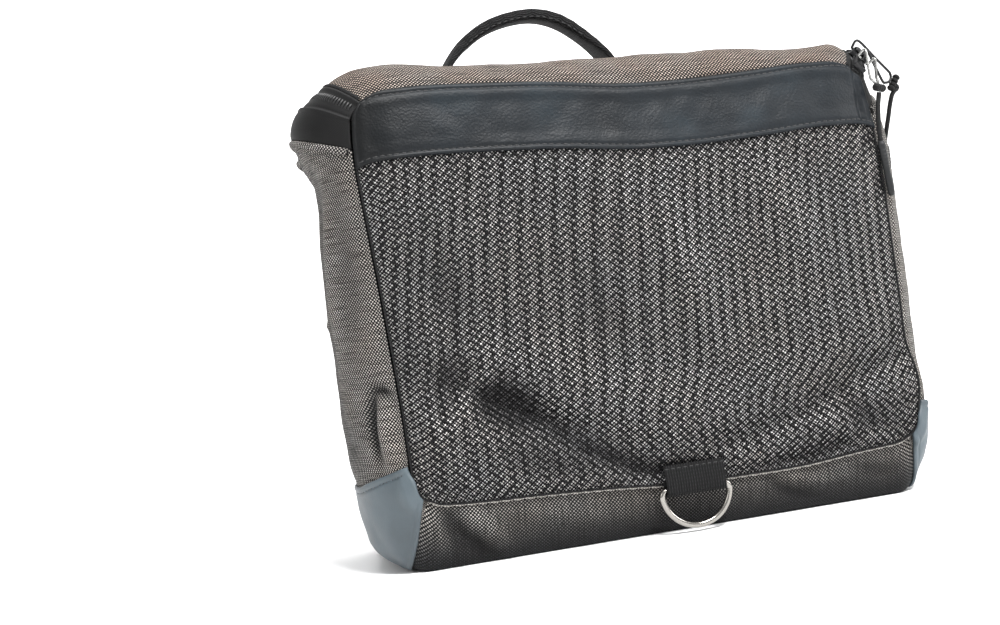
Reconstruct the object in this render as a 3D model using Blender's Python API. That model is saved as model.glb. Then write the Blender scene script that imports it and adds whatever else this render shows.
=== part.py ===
"""A handlebar bag of melange cloth with a net front, a leather band and a zipped lid.

The front faces minus Y, plus X is the right hand of someone who looks at the
front, and plus Z is up. The origin lies on the floor under the middle of the body.
All lengths are in metres.
"""

import math

import bmesh
import bpy
from mathutils import Matrix, Vector

# Driving sizes of the body
HALF_WIDTH = 0.146
BODY_HEIGHT = 0.232
FRONT_SEAM_Y = -0.057
BACK_SEAM_Y = 0.057
SIDE_BELLY_Y = -0.020
BOTTOM_BELLY_Y = -0.046
LID_CREST_Y = -0.037
REAR_BELLY_Y = 0.042
BACK_ROUND = 0.006
BACK_BOTTOM_RISE = 0.010
BACK_PLATE_STEP = 0.003
CORNER_ROUND = 0.085
SEAM_START_ANGLE = 20.0

# Walls and clearances
CLOTH_WALL = 0.0020
NET_WALL = 0.0008
LEATHER_WALL = 0.0013
PATCH_WALL = 0.0010
TAPE_WALL = 0.0014
SEAM_GAP = 0.0005
LAYER_GAP = 0.0004
NET_INSET = 0.0018
PATCH_INSET = 0.030
PATCH_UNDER = 0.006

# Front pillow
PILLOW = 0.0065
PILLOW_EDGE = 0.16
SEAM_SLOPE = 0.045
CREASE_DEPTH = 0.0032
CREASE_WIDTH = 0.075
BAND_LOW = 0.665

# Zip tape
TAPE_LOW_FRONT = 0.775
TAPE_LOW_BACK = 0.835

# Handle
HANDLE_Y = 0.036
HANDLE_MIDDLE_X = -0.0195
HANDLE_SPAN = 0.100
HANDLE_RISE = 0.034
HANDLE_WIDTH = 0.025
HANDLE_THICK = 0.0024
HANDLE_GRIP_WIDTH = 0.015
HANDLE_GRIP_THICK = 0.0066
HANDLE_TAB = 0.022

# Ring at the bottom front
RING_WIRE = 0.0030
RING_HALF = 0.0172
RING_DROP = 0.0180
RING_X = 0.0075
RING_BAR_Z = 0.0212
RING_BAR_Y = -0.0619
LOOP_WIDTH = 0.0300
LOOP_WALL = 0.0013
LOOP_CLEAR = 0.0004
LOOP_TOP_Z = 0.0330

# Straps for the bar
STRAP_WIDTH = 0.025
STRAP_WALL = 0.0018
STRAP_X = 0.062
BAR_RADIUS = 0.0159
BAR_CLEAR = 0.0006
BAR_Z = 0.176
STRAP_LOW_Z = 0.112
STRAP_FILLET = 0.0070

# Zip pulls
SLIDER_LENGTH = 0.0115
SLIDER_WIDTH = 0.0080
SLIDER_BODY = 0.0026
SLIDER_BRIDGE = 0.0030
SLIDER_BRIDGE_WALL = 0.0010
SLIDER_BRIDGE_HALF = 0.0012
SLIDER_LIFT = 0.0008
PULL_WIRE = 0.0014
PULL_HALF = 0.0034
PULL_STAND = 0.0046
PULL_BEND = 0.0007
CORD_THICK = 0.0024
CORD_GAP = 0.0008
KNOT_HALF = 0.0048
KNOT_THICK = 0.0026
GRIP_WIDTH = 0.0056

# Heights share the body height, widths share the half width. A row per level.
SIDE_LEVELS = (
    # level, left seam, left belly, left rear, right seam, right belly, right rear
    (0.00, 0.840, 0.940, 0.880, 0.840, 0.930, 0.870),
    (0.05, 0.860, 0.960, 0.900, 0.870, 0.950, 0.890),
    (0.11, 0.868, 0.979, 0.914, 0.884, 0.976, 0.905),
    (0.18, 0.866, 0.993, 0.924, 0.892, 0.993, 0.915),
    (0.22, 0.866, 1.006, 0.928, 0.904, 0.990, 0.915),
    (0.26, 0.866, 1.010, 0.930, 0.900, 0.977, 0.914),
    (0.33, 0.868, 1.015, 0.930, 0.875, 0.982, 0.914),
    (0.43, 0.876, 1.019, 0.930, 0.874, 0.988, 0.912),
    (0.55, 0.886, 1.022, 0.928, 0.872, 0.998, 0.908),
    (0.65, 0.896, 1.014, 0.924, 0.870, 1.003, 0.900),
    (0.74, 0.906, 1.003, 0.925, 0.863, 0.996, 0.890),
    (0.80, 0.912, 1.006, 0.935, 0.855, 0.974, 0.880),
    (0.85, 0.913, 1.032, 0.965, 0.844, 0.945, 0.872),
    (0.90, 0.908, 1.060, 0.995, 0.832, 0.915, 0.865),
    (0.94, 0.900, 1.046, 0.985, 0.822, 0.900, 0.860),
    (0.98, 0.890, 1.000, 0.950, 0.815, 0.892, 0.855),
    (1.03, 0.880, 0.960, 0.910, 0.810, 0.885, 0.850),
)
EDGE_LEVELS = (
    # across, bottom seam, band top, lid crest, lid rear
    (-1.00, 0.136, 0.955, 1.012, 0.985),
    (-0.75, 0.125, 0.960, 1.022, 0.995),
    (-0.50, 0.119, 0.953, 1.006, 0.998),
    (-0.25, 0.110, 0.943, 0.999, 0.998),
    (0.00, 0.098, 0.926, 0.996, 0.997),
    (0.25, 0.095, 0.921, 0.993, 0.996),
    (0.50, 0.095, 0.924, 0.986, 0.993),
    (0.75, 0.106, 0.930, 0.974, 0.985),
    (1.00, 0.112, 0.925, 0.985, 0.970),
)
# The line under the pillow of the front, where it hangs over and tucks in.
SMILE_LINE = (
    # across, height of the crease, its strength
    (-1.00, -0.30, 0.0),
    (-0.82, -0.42, 0.3),
    (-0.66, -0.52, 0.8),
    (-0.45, -0.62, 1.0),
    (-0.15, -0.76, 1.0),
    (0.15, -0.80, 1.1),
    (0.45, -0.74, 0.9),
    (0.80, -0.58, 0.9),
    (1.00, -0.52, 0.4),
)
# Soft swells and dents of the front, each a round bump.
FRONT_SWELLS = (
    # across, up, reach across, reach up, height
    (0.10, 0.20, 0.60, 0.45, 0.0022),
    (-0.55, -0.10, 0.22, 0.40, -0.0012),
    (-0.62, -0.40, 0.16, 0.22, -0.0026),
    (-0.45, -0.36, 0.16, 0.16, 0.0014),
    (0.62, -0.30, 0.30, 0.25, 0.0016),
    (-0.86, -0.62, 0.16, 0.20, 0.0018),
)


def mix(a, b, t):
    return a + (b - a) * t


def clamp(value, low, high):
    return max(low, min(high, value))


def smooth(t):
    t = clamp(t, 0.0, 1.0)
    return t * t * (3.0 - 2.0 * t)


def table(rows, column, where):
    """Reads one column of a table with a smooth curve through its rows."""
    keys = [row[0] for row in rows]
    values = [row[column] for row in rows]
    if where <= keys[0]:
        return values[0]
    if where >= keys[-1]:
        return values[-1]
    i = 0
    while where > keys[i + 1]:
        i += 1
    step = keys[i + 1] - keys[i]
    t = (where - keys[i]) / step
    before = max(i - 1, 0)
    after = min(i + 2, len(keys) - 1)
    slope_a = (values[i + 1] - values[before]) / (keys[i + 1] - keys[before])
    slope_b = (values[after] - values[i]) / (keys[after] - keys[i])
    t2 = t * t
    t3 = t2 * t
    a = (2 * t3 - 3 * t2 + 1) * values[i]
    b = (t3 - 2 * t2 + t) * step * slope_a
    c = (3 * t2 - 2 * t3) * values[i + 1]
    d = (t3 - t2) * step * slope_b
    return a + b + c + d


def near_edge(share):
    return max(0.0, (abs(share) - (1.0 - CORNER_ROUND)) / CORNER_ROUND)


def side_x(ring, height, across):
    """Half widths of a ring at a height, mixed from its left to its right side."""
    level = height / BODY_HEIGHT
    column = (1, 2, 3, 3)[ring]
    left = table(SIDE_LEVELS, column, level) * HALF_WIDTH
    right = table(SIDE_LEVELS, column + 3, level) * HALF_WIDTH
    if ring == 3:
        left -= BACK_ROUND
        right -= BACK_ROUND
    return mix(-left, right, (across + 1.0) / 2.0)


def ring_point(ring, a, b):
    """A point of one of the four rings, from shares across and up its square."""
    across = a * (1.0 - 0.5 * CORNER_ROUND * near_edge(b) ** 2)
    up = b * (1.0 - 0.5 * CORNER_ROUND * near_edge(a) ** 2)
    if ring == 0:
        low = table(EDGE_LEVELS, 1, across) * BODY_HEIGHT
        high = table(EDGE_LEVELS, 2, across) * BODY_HEIGHT
    elif ring == 1:
        low = 0.0
        high = table(EDGE_LEVELS, 3, across) * BODY_HEIGHT
    elif ring == 2:
        low = 0.0
        high = table(EDGE_LEVELS, 4, across) * BODY_HEIGHT
    else:
        low = BACK_BOTTOM_RISE
        high = table(EDGE_LEVELS, 4, across) * BODY_HEIGHT - BACK_ROUND
    z = mix(low, high, (up + 1.0) / 2.0)
    return side_x(ring, z, across), z


def rim_point(a, b, v):
    """The body between the front seam (v = 0) and the back seam (v = 1)."""
    sideness = 0.5 * (1.0 + near_edge(a) ** 2 - near_edge(b) ** 2)
    upper = BOTTOM_BELLY_Y if b < 0.0 else LID_CREST_Y
    belly_y = mix(upper, SIDE_BELLY_Y, sideness)
    x0, z0 = ring_point(0, a, b)
    x1, z1 = ring_point(1, a, b)
    x2, z2 = ring_point(2, a, b)
    x3, z3 = ring_point(3, a, b)
    first = 0.36
    second = 0.80
    if v <= first:
        start = math.radians(SEAM_START_ANGLE)
        angle = mix(start, math.pi / 2.0, max(v, 0.0) / first)
        out = (math.sin(angle) - math.sin(start)) / (1.0 - math.sin(start))
        back = math.cos(angle) / math.cos(start)
        return Vector((mix(x0, x1, out), mix(belly_y, FRONT_SEAM_Y, back), mix(z0, z1, out)))
    if v <= second:
        t = (v - first) / (second - first)
        y = mix(belly_y, REAR_BELLY_Y, t)
        return Vector((mix(x1, x2, smooth(t)), y, mix(z1, z2, smooth(t))))
    angle = (min(v, 1.0) - second) / (1.0 - second) * math.pi / 2.0
    y = mix(REAR_BELLY_Y, BACK_SEAM_Y, math.sin(angle))
    return Vector((mix(x3, x2, math.cos(angle)), y, mix(z3, z2, math.cos(angle))))


def pillow(a, b):
    """How far the front stands out from its seams."""
    across = smooth((1.0 - abs(a)) / PILLOW_EDGE) * 0.45 + math.sqrt(max(0.0, 1.0 - a * a)) * 0.55
    low = clamp((b + 1.0) / (2.0 * PILLOW_EDGE), 0.0, 1.0)
    top = clamp((1.0 - b) / 0.30, 0.0, 1.0)
    out = PILLOW * across * (0.45 * smooth(low) + 0.55 * math.sin(math.pi * 0.5 * low))
    out *= mix(0.42, 1.0, smooth(top))
    line = table(SMILE_LINE, 1, a)
    strength = table(SMILE_LINE, 2, a)
    away = (b - line) / CREASE_WIDTH
    out -= CREASE_DEPTH * strength * math.exp(-away * away)
    hang = (b - line - 2.2 * CREASE_WIDTH) / (2.0 * CREASE_WIDTH)
    out += 0.7 * CREASE_DEPTH * strength * math.exp(-hang * hang)
    for x, up, wide, tall, high in FRONT_SWELLS:
        out += high * math.exp(-((a - x) / wide) ** 2 - ((b - up) / tall) ** 2)
    return max(out, 0.05 * PILLOW)


def front_point(a, b):
    x, z = ring_point(0, a, b)
    hold = 1.0 - SEAM_SLOPE
    edge = clamp(min(1.0 - abs(a), 1.0 + b) / SEAM_SLOPE, 0.0, 1.0)
    out = pillow(clamp(a, -hold, hold), max(b, -hold)) * edge
    return Vector((x, FRONT_SEAM_Y - out, z))


def back_point(a, b):
    x, z = ring_point(3, a, b)
    step = smooth((1.0 - abs(a)) / 0.22) * smooth((1.0 + b) / 0.22) * smooth((0.80 - b) / 0.16)
    return Vector((x, BACK_SEAM_Y + BACK_PLATE_STEP * step, z))


def tape_low(v):
    return mix(TAPE_LOW_FRONT, TAPE_LOW_BACK, smooth(v * 1.6))


def gusset_point(s, v):
    """The cloth strip down the left side (0 to 1), under (to 2) and up the right side."""
    top = tape_low(v) - CORNER_TRIM
    if s <= 1.0:
        return rim_point(-1.0, mix(top, -1.0, s), v)
    if s <= 2.0:
        return rim_point(mix(-1.0, 1.0, s - 1.0), -1.0, v)
    return rim_point(1.0, mix(-1.0, top, s - 2.0), v)


def lid_point(a, v):
    return rim_point(a, 1.0, v)


def tape_point(s, w):
    """The zip tape along the left side (0 to 1), the back (to 2) and the right side."""
    if s <= 1.0:
        return rim_point(-1.0, mix(tape_low(s), 1.0, w), s)
    if s <= 2.0:
        return back_point(mix(-1.0, 1.0, s - 1.0), mix(TAPE_LOW_BACK, 1.0, w))
    return rim_point(1.0, mix(tape_low(3.0 - s), 1.0, w), 3.0 - s)


def spread(low, high, count):
    return [mix(low, high, i / count) for i in range(count + 1)]


def normal_at(surface, u, v, side):
    step = 0.004
    along = surface(u + step, v) - surface(u - step, v)
    up = surface(u, v + step) - surface(u, v - step)
    normal = along.cross(up)
    if normal.length < 1e-12:
        return Vector((0.0, side, 0.0))
    return normal.normalized() * side


def front_normal(a, b):
    """The way out of the front; at a seam it is shared with the cloth beyond the seam."""
    if abs(a) < 0.985 and abs(b) < 0.985:
        return normal_at(front_point, a, b, 1.0)
    edge_a = abs(a) >= 0.985
    edge_b = abs(b) >= 0.985
    step = 0.01
    rim_a = math.copysign(1.0, a) if edge_a else a
    rim_b = math.copysign(1.0, b) if edge_b else b
    if edge_a and edge_b:
        ahead = rim_point(rim_a * (1.0 - step), rim_b, 0.0)
        behind = rim_point(rim_a, rim_b * (1.0 - step), 0.0)
    elif edge_a:
        ahead = rim_point(rim_a, rim_b + step, 0.0)
        behind = rim_point(rim_a, rim_b - step, 0.0)
    else:
        ahead = rim_point(rim_a + step, rim_b, 0.0)
        behind = rim_point(rim_a - step, rim_b, 0.0)
    away = rim_point(rim_a, rim_b, 0.01) - rim_point(rim_a, rim_b, 0.0)
    normal = (ahead - behind).cross(away).normalized()
    return normal if normal.y < 0.0 else -normal


# Making objects


def clear_scene():
    for thing in list(bpy.data.objects):
        bpy.data.objects.remove(thing, do_unlink=True)


def material(name, colour, roughness, metallic=0.0):
    made = bpy.data.materials.new(name)
    made.use_nodes = True
    shader = made.node_tree.nodes["Principled BSDF"]
    shader.inputs["Base Color"].default_value = (colour[0], colour[1], colour[2], 1.0)
    shader.inputs["Roughness"].default_value = roughness
    shader.inputs["Metallic"].default_value = metallic
    return made


def finish(name, mesh, skin, rounded):
    made = bmesh.new()
    made.from_mesh(mesh)
    bmesh.ops.recalc_face_normals(made, faces=made.faces)
    if made.calc_volume(signed=True) < 0.0:
        bmesh.ops.reverse_faces(made, faces=made.faces)
    for face in made.faces:
        face.smooth = rounded
    made.to_mesh(mesh)
    made.free()
    thing = bpy.data.objects.new(name, mesh)
    thing.data.materials.append(skin)
    bpy.context.scene.collection.objects.link(thing)
    return thing


def solid(name, points, faces, skin, rounded=True):
    mesh = bpy.data.meshes.new(name)
    mesh.from_pydata([tuple(p) for p in points], [], faces)
    mesh.update()
    return finish(name, mesh, skin, rounded)


def shell(name, surface, us, vs, side, inner, outer, skin, normals=None):
    """A sheet of cloth between two distances from a surface, closed round its rim."""
    points = []
    for away in (outer, inner):
        for u in us:
            for v in vs:
                normal = normals(u, v) if normals else normal_at(surface, u, v, side)
                points.append(surface(u, v) + normal * away)
    rows = len(us)
    columns = len(vs)
    back = rows * columns
    faces = []
    for i in range(rows - 1):
        for j in range(columns - 1):
            a = i * columns + j
            b = a + 1
            c = a + columns + 1
            d = a + columns
            faces.append((a, b, c))
            faces.append((a, c, d))
            faces.append((back + c, back + b, back + a))
            faces.append((back + d, back + c, back + a))
    rim = [j for j in range(columns)]
    rim += [i * columns + columns - 1 for i in range(1, rows)]
    rim += [(rows - 1) * columns + j for j in range(columns - 2, -1, -1)]
    rim += [i * columns for i in range(rows - 2, 0, -1)]
    for k, a in enumerate(rim):
        b = rim[(k + 1) % len(rim)]
        faces.append((b, a, back + a, back + b))
    return solid(name, points, faces, skin)


def sweep(name, frames, section, skin, closed=False, rounded=True):
    """Joins copies of a cross section that stand in the given frames."""
    count = len(section[0])
    points = []
    for (origin, across, up), outline in zip(frames, section):
        for x, y in outline:
            points.append(origin + across * x + up * y)
    faces = []
    last = len(frames) if closed else len(frames) - 1
    for i in range(last):
        following = (i + 1) % len(frames)
        for j in range(count):
            k = (j + 1) % count
            faces.append((i * count + j, i * count + k, following * count + k, following * count + j))
    if not closed:
        faces.append(tuple(range(count)))
        faces.append(tuple((len(frames) - 1) * count + j for j in range(count)))
    return solid(name, points, faces, skin, rounded)


def flat_section(width, thick, chamfer=0.3):
    """An eight sided cross section of webbing."""
    w = width / 2.0
    t = thick / 2.0
    c = min(w, t) * chamfer
    return [
        (-w + c, -t),
        (w - c, -t),
        (w, -t + c),
        (w, t - c),
        (w - c, t),
        (-w + c, t),
        (-w, t - c),
        (-w, -t + c),
    ]


def round_section(radius, count=8):
    turn = 2.0 * math.pi / count
    return [(radius * math.cos(turn * i), radius * math.sin(turn * i)) for i in range(count)]


def path_frames(points, closed=False, across=None):
    """Frames along a path; the given direction stays the across direction."""
    frames = []
    total = len(points)
    for i, point in enumerate(points):
        if closed:
            forward = points[(i + 1) % total] - points[i - 1]
        else:
            forward = points[min(i + 1, total - 1)] - points[max(i - 1, 0)]
        forward.normalize()
        side = across - forward * across.dot(forward)
        side.normalize()
        frames.append((point, side, forward.cross(side)))
    return frames


def smooth_path(points, count):
    """Reads a smooth curve through the given points at even shares."""
    made = []
    last = len(points) - 1
    for i in range(count + 1):
        at = last * i / count
        k = min(int(at), last - 1)
        t = at - k
        p0 = points[max(k - 1, 0)]
        p1 = points[k]
        p2 = points[k + 1]
        p3 = points[min(k + 2, last)]
        a = p1 * 2.0
        b = p2 - p0
        c = p0 * 2.0 - p1 * 5.0 + p2 * 4.0 - p3
        d = p1 * 3.0 - p0 - p2 * 3.0 + p3
        made.append((a + b * t + c * t * t + d * t * t * t) * 0.5)
    return made


# The pieces


# Lines of the body's grids, shared by every piece so that their edges match.
EDGE_TRIM = SEAM_GAP / HALF_WIDTH
ACROSS_LINES = (-1.0, -0.955, -0.912) + tuple(spread(-0.82, 0.82, 12)) + (0.912, 0.955, 1.0)
PATCH_TOP = -0.69
LOW_LINES = (-1.0, -0.955, -0.912, -0.80)
UP_LINES = LOW_LINES + tuple(spread(PATCH_TOP, BAND_LOW, 11))
TOP_LINES = (BAND_LOW, 0.74, 0.83, 0.912, 0.955, 1.0)
RIM_START = 0.004
RIM_END = 0.994
RIM_DEPTH = (0.09, 0.18, 0.27, 0.36, 0.51, 0.66, 0.80, 0.90)
PATCH_STEPS = 7
CORNER_TRIM = 0.004


def trimmed(lines, low, high):
    """The lines with the first and the last one drawn in a little."""
    return [lines[0] + low] + list(lines[1:-1]) + [lines[-1] - high]


def side_share(b):
    """The share along a side of the gusset that meets the front at a height."""
    top = TAPE_LOW_FRONT - CORNER_TRIM
    return (top - b) / (top + 1.0)


def build_body(skins):
    cloth = skins["melange"]
    trim = EDGE_TRIM
    net_trim = NET_INSET / HALF_WIDTH
    across = trimmed(ACROSS_LINES, trim, trim)
    up = trimmed(UP_LINES + TOP_LINES[1:], trim, trim)
    wall = CLOTH_WALL
    shell("front_panel", front_point, across, up, 1.0, -wall, 0.0, cloth, front_normal)
    base = LAYER_GAP
    net_across = trimmed(ACROSS_LINES, net_trim, net_trim)
    net_up = trimmed(UP_LINES, net_trim, 1.5 * trim)
    net = base + NET_WALL
    shell("net_panel", front_point, net_across, net_up, 1.0, base, net, skins["net"], front_normal)
    band_up = trimmed(TOP_LINES, 0.0, trim)
    band = base + LEATHER_WALL
    shell("leather_band", front_point, across, band_up, 1.0, base, band, skins["leather"], front_normal)

    depth = [RIM_START] + list(RIM_DEPTH) + [RIM_END]
    side = [0.0] + [side_share(b) for b in reversed(UP_LINES)]
    under = [1.0 + (a + 1.0) / 2.0 for a in ACROSS_LINES[1:-1]]
    way = side + under + [3.0 - s for s in reversed(side)]
    shell("gusset", gusset_point, way, depth, -1.0, -wall, 0.0, cloth)

    lid_across = trimmed(ACROSS_LINES, CORNER_TRIM, CORNER_TRIM)
    shell("lid", lid_point, lid_across, depth, 1.0, -wall, 0.0, cloth)

    widths = spread(0.0, 1.0 - CORNER_TRIM, 4)
    side_way = [RIM_START] + list(RIM_DEPTH) + [0.97]
    back_way = [1.0 + (a + 1.0) / 2.0 for a in ACROSS_LINES]
    tape_way = side_way + back_way + [3.0 - s for s in reversed(side_way)]
    shell("zip_tape", tape_point, tape_way, widths, -1.0, -TAPE_WALL, 0.0, skins["tape"])

    back_top = TAPE_LOW_BACK - CORNER_TRIM
    back_up = [mix(back_top, -1.0, s) for s in reversed(side)]
    back_up = trimmed(back_up, trim, CORNER_TRIM)
    shell("back_panel", back_point, across, back_up, -1.0, -wall, 0.0, cloth)


def build_patches(skins):
    """Coated cloth laid over the two lower front corners."""
    wall = LAYER_GAP
    outer = LAYER_GAP + PATCH_WALL
    depth = [PATCH_INSET] + list(RIM_DEPTH[:PATCH_STEPS])
    left = [side_share(b) for b in (PATCH_TOP,) + tuple(reversed(LOW_LINES))]
    left += [1.0 + PATCH_UNDER]
    right = [3.0 - s for s in reversed(left)]
    shell("corner_patch_left", gusset_point, left, depth, -1.0, wall, outer, skins["patch"])
    shell("corner_patch_right", gusset_point, right, depth, -1.0, wall, outer, skins["patch"])


def lid_top(x, y):
    """The place on the lid over a spot of the floor, found in a few steps."""
    a = x / HALF_WIDTH
    v = 0.6
    for _ in range(12):
        here = lid_point(a, v)
        a += (x - here.x) / HALF_WIDTH
        v = clamp(v + (y - here.y) * 5.0, 0.37, 0.98)
    return lid_point(a, v)


def build_handle(skins):
    """One webbing strap, folded narrow in the middle, with a flat tab at each end."""
    half = HANDLE_SPAN / 2.0
    mid = HANDLE_MIDDLE_X
    lift = LAYER_GAP + HANDLE_THICK / 2.0
    tops = []
    for side in (-1.0, 1.0):
        for step in range(9):
            for edge in (-0.55, 0.0, 0.55):
                x = mid + side * (half + HANDLE_TAB * step / 8.0 - 0.002)
                spot = lid_top(x, HANDLE_Y + edge * HANDLE_WIDTH)
                tops.append((side, spot.z))
    left = max(z for side, z in tops if side < 0.0) + lift
    right = max(z for side, z in tops if side > 0.0) + lift
    rows = (
        # share of the half span, share of the rise, width, thickness
        (-1.0 - HANDLE_TAB / half, 0.00, HANDLE_WIDTH, HANDLE_THICK),
        (-1.20, 0.00, HANDLE_WIDTH, HANDLE_THICK),
        (-1.00, 0.01, HANDLE_WIDTH, HANDLE_THICK),
        (-0.93, 0.12, HANDLE_WIDTH * 0.96, HANDLE_THICK * 1.1),
        (-0.84, 0.36, HANDLE_WIDTH * 0.84, HANDLE_THICK * 1.5),
        (-0.66, 0.64, HANDLE_GRIP_WIDTH, HANDLE_GRIP_THICK * 0.9),
        (-0.42, 0.86, HANDLE_GRIP_WIDTH, HANDLE_GRIP_THICK),
        (-0.14, 0.98, HANDLE_GRIP_WIDTH, HANDLE_GRIP_THICK),
        (0.14, 1.00, HANDLE_GRIP_WIDTH, HANDLE_GRIP_THICK),
        (0.40, 0.88, HANDLE_GRIP_WIDTH, HANDLE_GRIP_THICK),
        (0.64, 0.62, HANDLE_GRIP_WIDTH, HANDLE_GRIP_THICK * 0.9),
        (0.82, 0.34, HANDLE_WIDTH * 0.84, HANDLE_THICK * 1.5),
        (0.92, 0.11, HANDLE_WIDTH * 0.96, HANDLE_THICK * 1.1),
        (1.00, 0.01, HANDLE_WIDTH, HANDLE_THICK),
        (1.20, 0.00, HANDLE_WIDTH, HANDLE_THICK),
        (1.0 + HANDLE_TAB / half, 0.00, HANDLE_WIDTH, HANDLE_THICK),
    )
    path = []
    widths = []
    for along, rise, wide, thick in rows:
        base = mix(left, right, smooth((along + 1.0) / 2.0))
        path.append(Vector((mid + along * half, HANDLE_Y, base + rise * HANDLE_RISE)))
        widths.append((wide, thick))
    fine = 2
    points = smooth_path(path, (len(path) - 1) * fine)
    sections = []
    for i in range(len(points)):
        k = min(i // fine, len(widths) - 2)
        t = i / fine - k
        wide = mix(widths[k][0], widths[k + 1][0], t)
        thick = mix(widths[k][1], widths[k + 1][1], t)
        sections.append(flat_section(wide, thick, 0.5))
    frames = path_frames(points, across=Vector((0.0, 1.0, 0.0)))
    sweep("handle", frames, sections, skins["webbing"])


def build_ring(skins):
    """A half round ring that hangs from its straight bar in a loop of webbing."""
    bar = Vector((RING_X, RING_BAR_Y, RING_BAR_Z))
    half = RING_HALF
    bend = 0.0030
    points = []
    for t in spread(-0.86, 0.86, 6):
        points.append(Vector((-t * half, 0.0, 0.0)))
    straight = RING_DROP - half
    corner = []
    for t in (20.0, 50.0, 80.0):
        turn = math.radians(t)
        corner.append((half - bend + bend * math.sin(turn), -bend + bend * math.cos(turn)))
    for x, z in corner:
        points.append(Vector((-x, 0.0, z)))
    for t in spread(8.0, 172.0, 15):
        turn = math.radians(t)
        points.append(Vector((-half * math.cos(turn), 0.0, -straight - half * math.sin(turn))))
    for x, z in reversed(corner):
        points.append(Vector((x, 0.0, z)))
    frames = path_frames(points, closed=True, across=Vector((0.0, 1.0, 0.0)))
    section = [round_section(RING_WIRE / 2.0, 6)] * len(points)
    ring = sweep("d_ring", frames, section, skins["nickel"], closed=True)
    ring.location = bar

    inside = RING_WIRE / 2.0 + LOOP_CLEAR
    middle = inside + LOOP_WALL / 2.0
    rise = LOOP_TOP_Z - RING_BAR_Z
    lean = 0.0012
    path = [
        Vector((0.0, -middle + lean, rise)),
        Vector((0.0, -middle + lean * 0.5, rise * 0.66)),
        Vector((0.0, -middle, rise * 0.33)),
        Vector((0.0, -middle, 0.0)),
    ]
    for t in (30.0, 60.0, 90.0, 120.0, 150.0):
        turn = math.radians(t)
        path.append(Vector((0.0, -middle * math.cos(turn), -middle * math.sin(turn))))
    path += [
        Vector((0.0, middle, 0.0)),
        Vector((0.0, middle - lean * 0.3, rise * 0.20)),
        Vector((0.0, middle - lean * 0.8, rise * 0.40)),
    ]
    points = [bar + p for p in path]
    frames = path_frames(points, across=Vector((1.0, 0.0, 0.0)))
    section = [flat_section(LOOP_WIDTH, LOOP_WALL)] * len(points)
    sweep("ring_loop", frames, section, skins["webbing"])


def build_straps(skins):
    """Two plain webbing loops behind the bag that go round the bar."""
    layer = STRAP_WALL + LAYER_GAP
    first = BACK_SEAM_Y + BACK_PLATE_STEP + LAYER_GAP + STRAP_WALL / 2.0
    second = first + layer
    round_r = BAR_RADIUS + BAR_CLEAR + STRAP_WALL / 2.0
    middle_y = first + round_r
    low = BAR_Z - round_r
    path = [(first, STRAP_LOW_Z + z) for z in (0.0, 0.020, 0.040)]
    path += [(first, BAR_Z)]
    for t in spread(165.0, -90.0, 17):
        turn = math.radians(t)
        path.append((middle_y + round_r * math.cos(turn), BAR_Z + round_r * math.sin(turn)))
    for t in (90.0, 112.0, 135.0, 158.0, 180.0):
        turn = math.radians(t)
        y = second + STRAP_FILLET + STRAP_FILLET * math.cos(turn)
        path.append((y, low - STRAP_FILLET + STRAP_FILLET * math.sin(turn)))
    path += [(second, STRAP_LOW_Z + 0.020), (second, STRAP_LOW_Z + 0.006)]
    for name, side in (("bar_strap_left", -1.0), ("bar_strap_right", 1.0)):
        points = [Vector((side * STRAP_X, y, z)) for y, z in path]
        frames = path_frames(points, across=Vector((1.0, 0.0, 0.0)))
        section = [flat_section(STRAP_WIDTH, STRAP_WALL)] * len(points)
        sweep(name, frames, section, skins["webbing"])


# Where the two sliders sit on the right side: name, share along the tape, share across it.
SLIDER_PLACES = (
    ("front", 2.910, 0.86),
    ("rear", 2.760, 0.86),
)
# The way of each pull, as steps from its slider's place in metres: the knot, two points
# of the cord, the top of the grip and the bottom of the grip.
PULL_STEPS = {
    "front": ((0.0058, -0.0082, -0.0108), (0.0046, -0.0082, -0.0228), (0.0040, -0.0077, -0.0328),
              (0.0043, -0.0074, -0.0388), (0.0065, -0.0074, -0.0663)),
    "rear": ((0.0217, 0.0018, -0.0128), (0.0219, 0.0028, -0.0208), (0.0202, 0.0078, -0.0338),
             (0.0203, 0.0138, -0.0443), (0.0221, 0.0178, -0.0718)),
}


def slider_frame(along, across):
    """The middle of a slider on the tape with its directions along, over and out."""
    here = tape_point(along, across)
    step = 0.01
    forward = (tape_point(along + step, across) - tape_point(along - step, across)).normalized()
    out = normal_at(tape_point, along, across, -1.0)
    over = forward.cross(out).normalized()
    if over.z < 0.0:
        over = -over
    return here, forward, over, out


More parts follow.
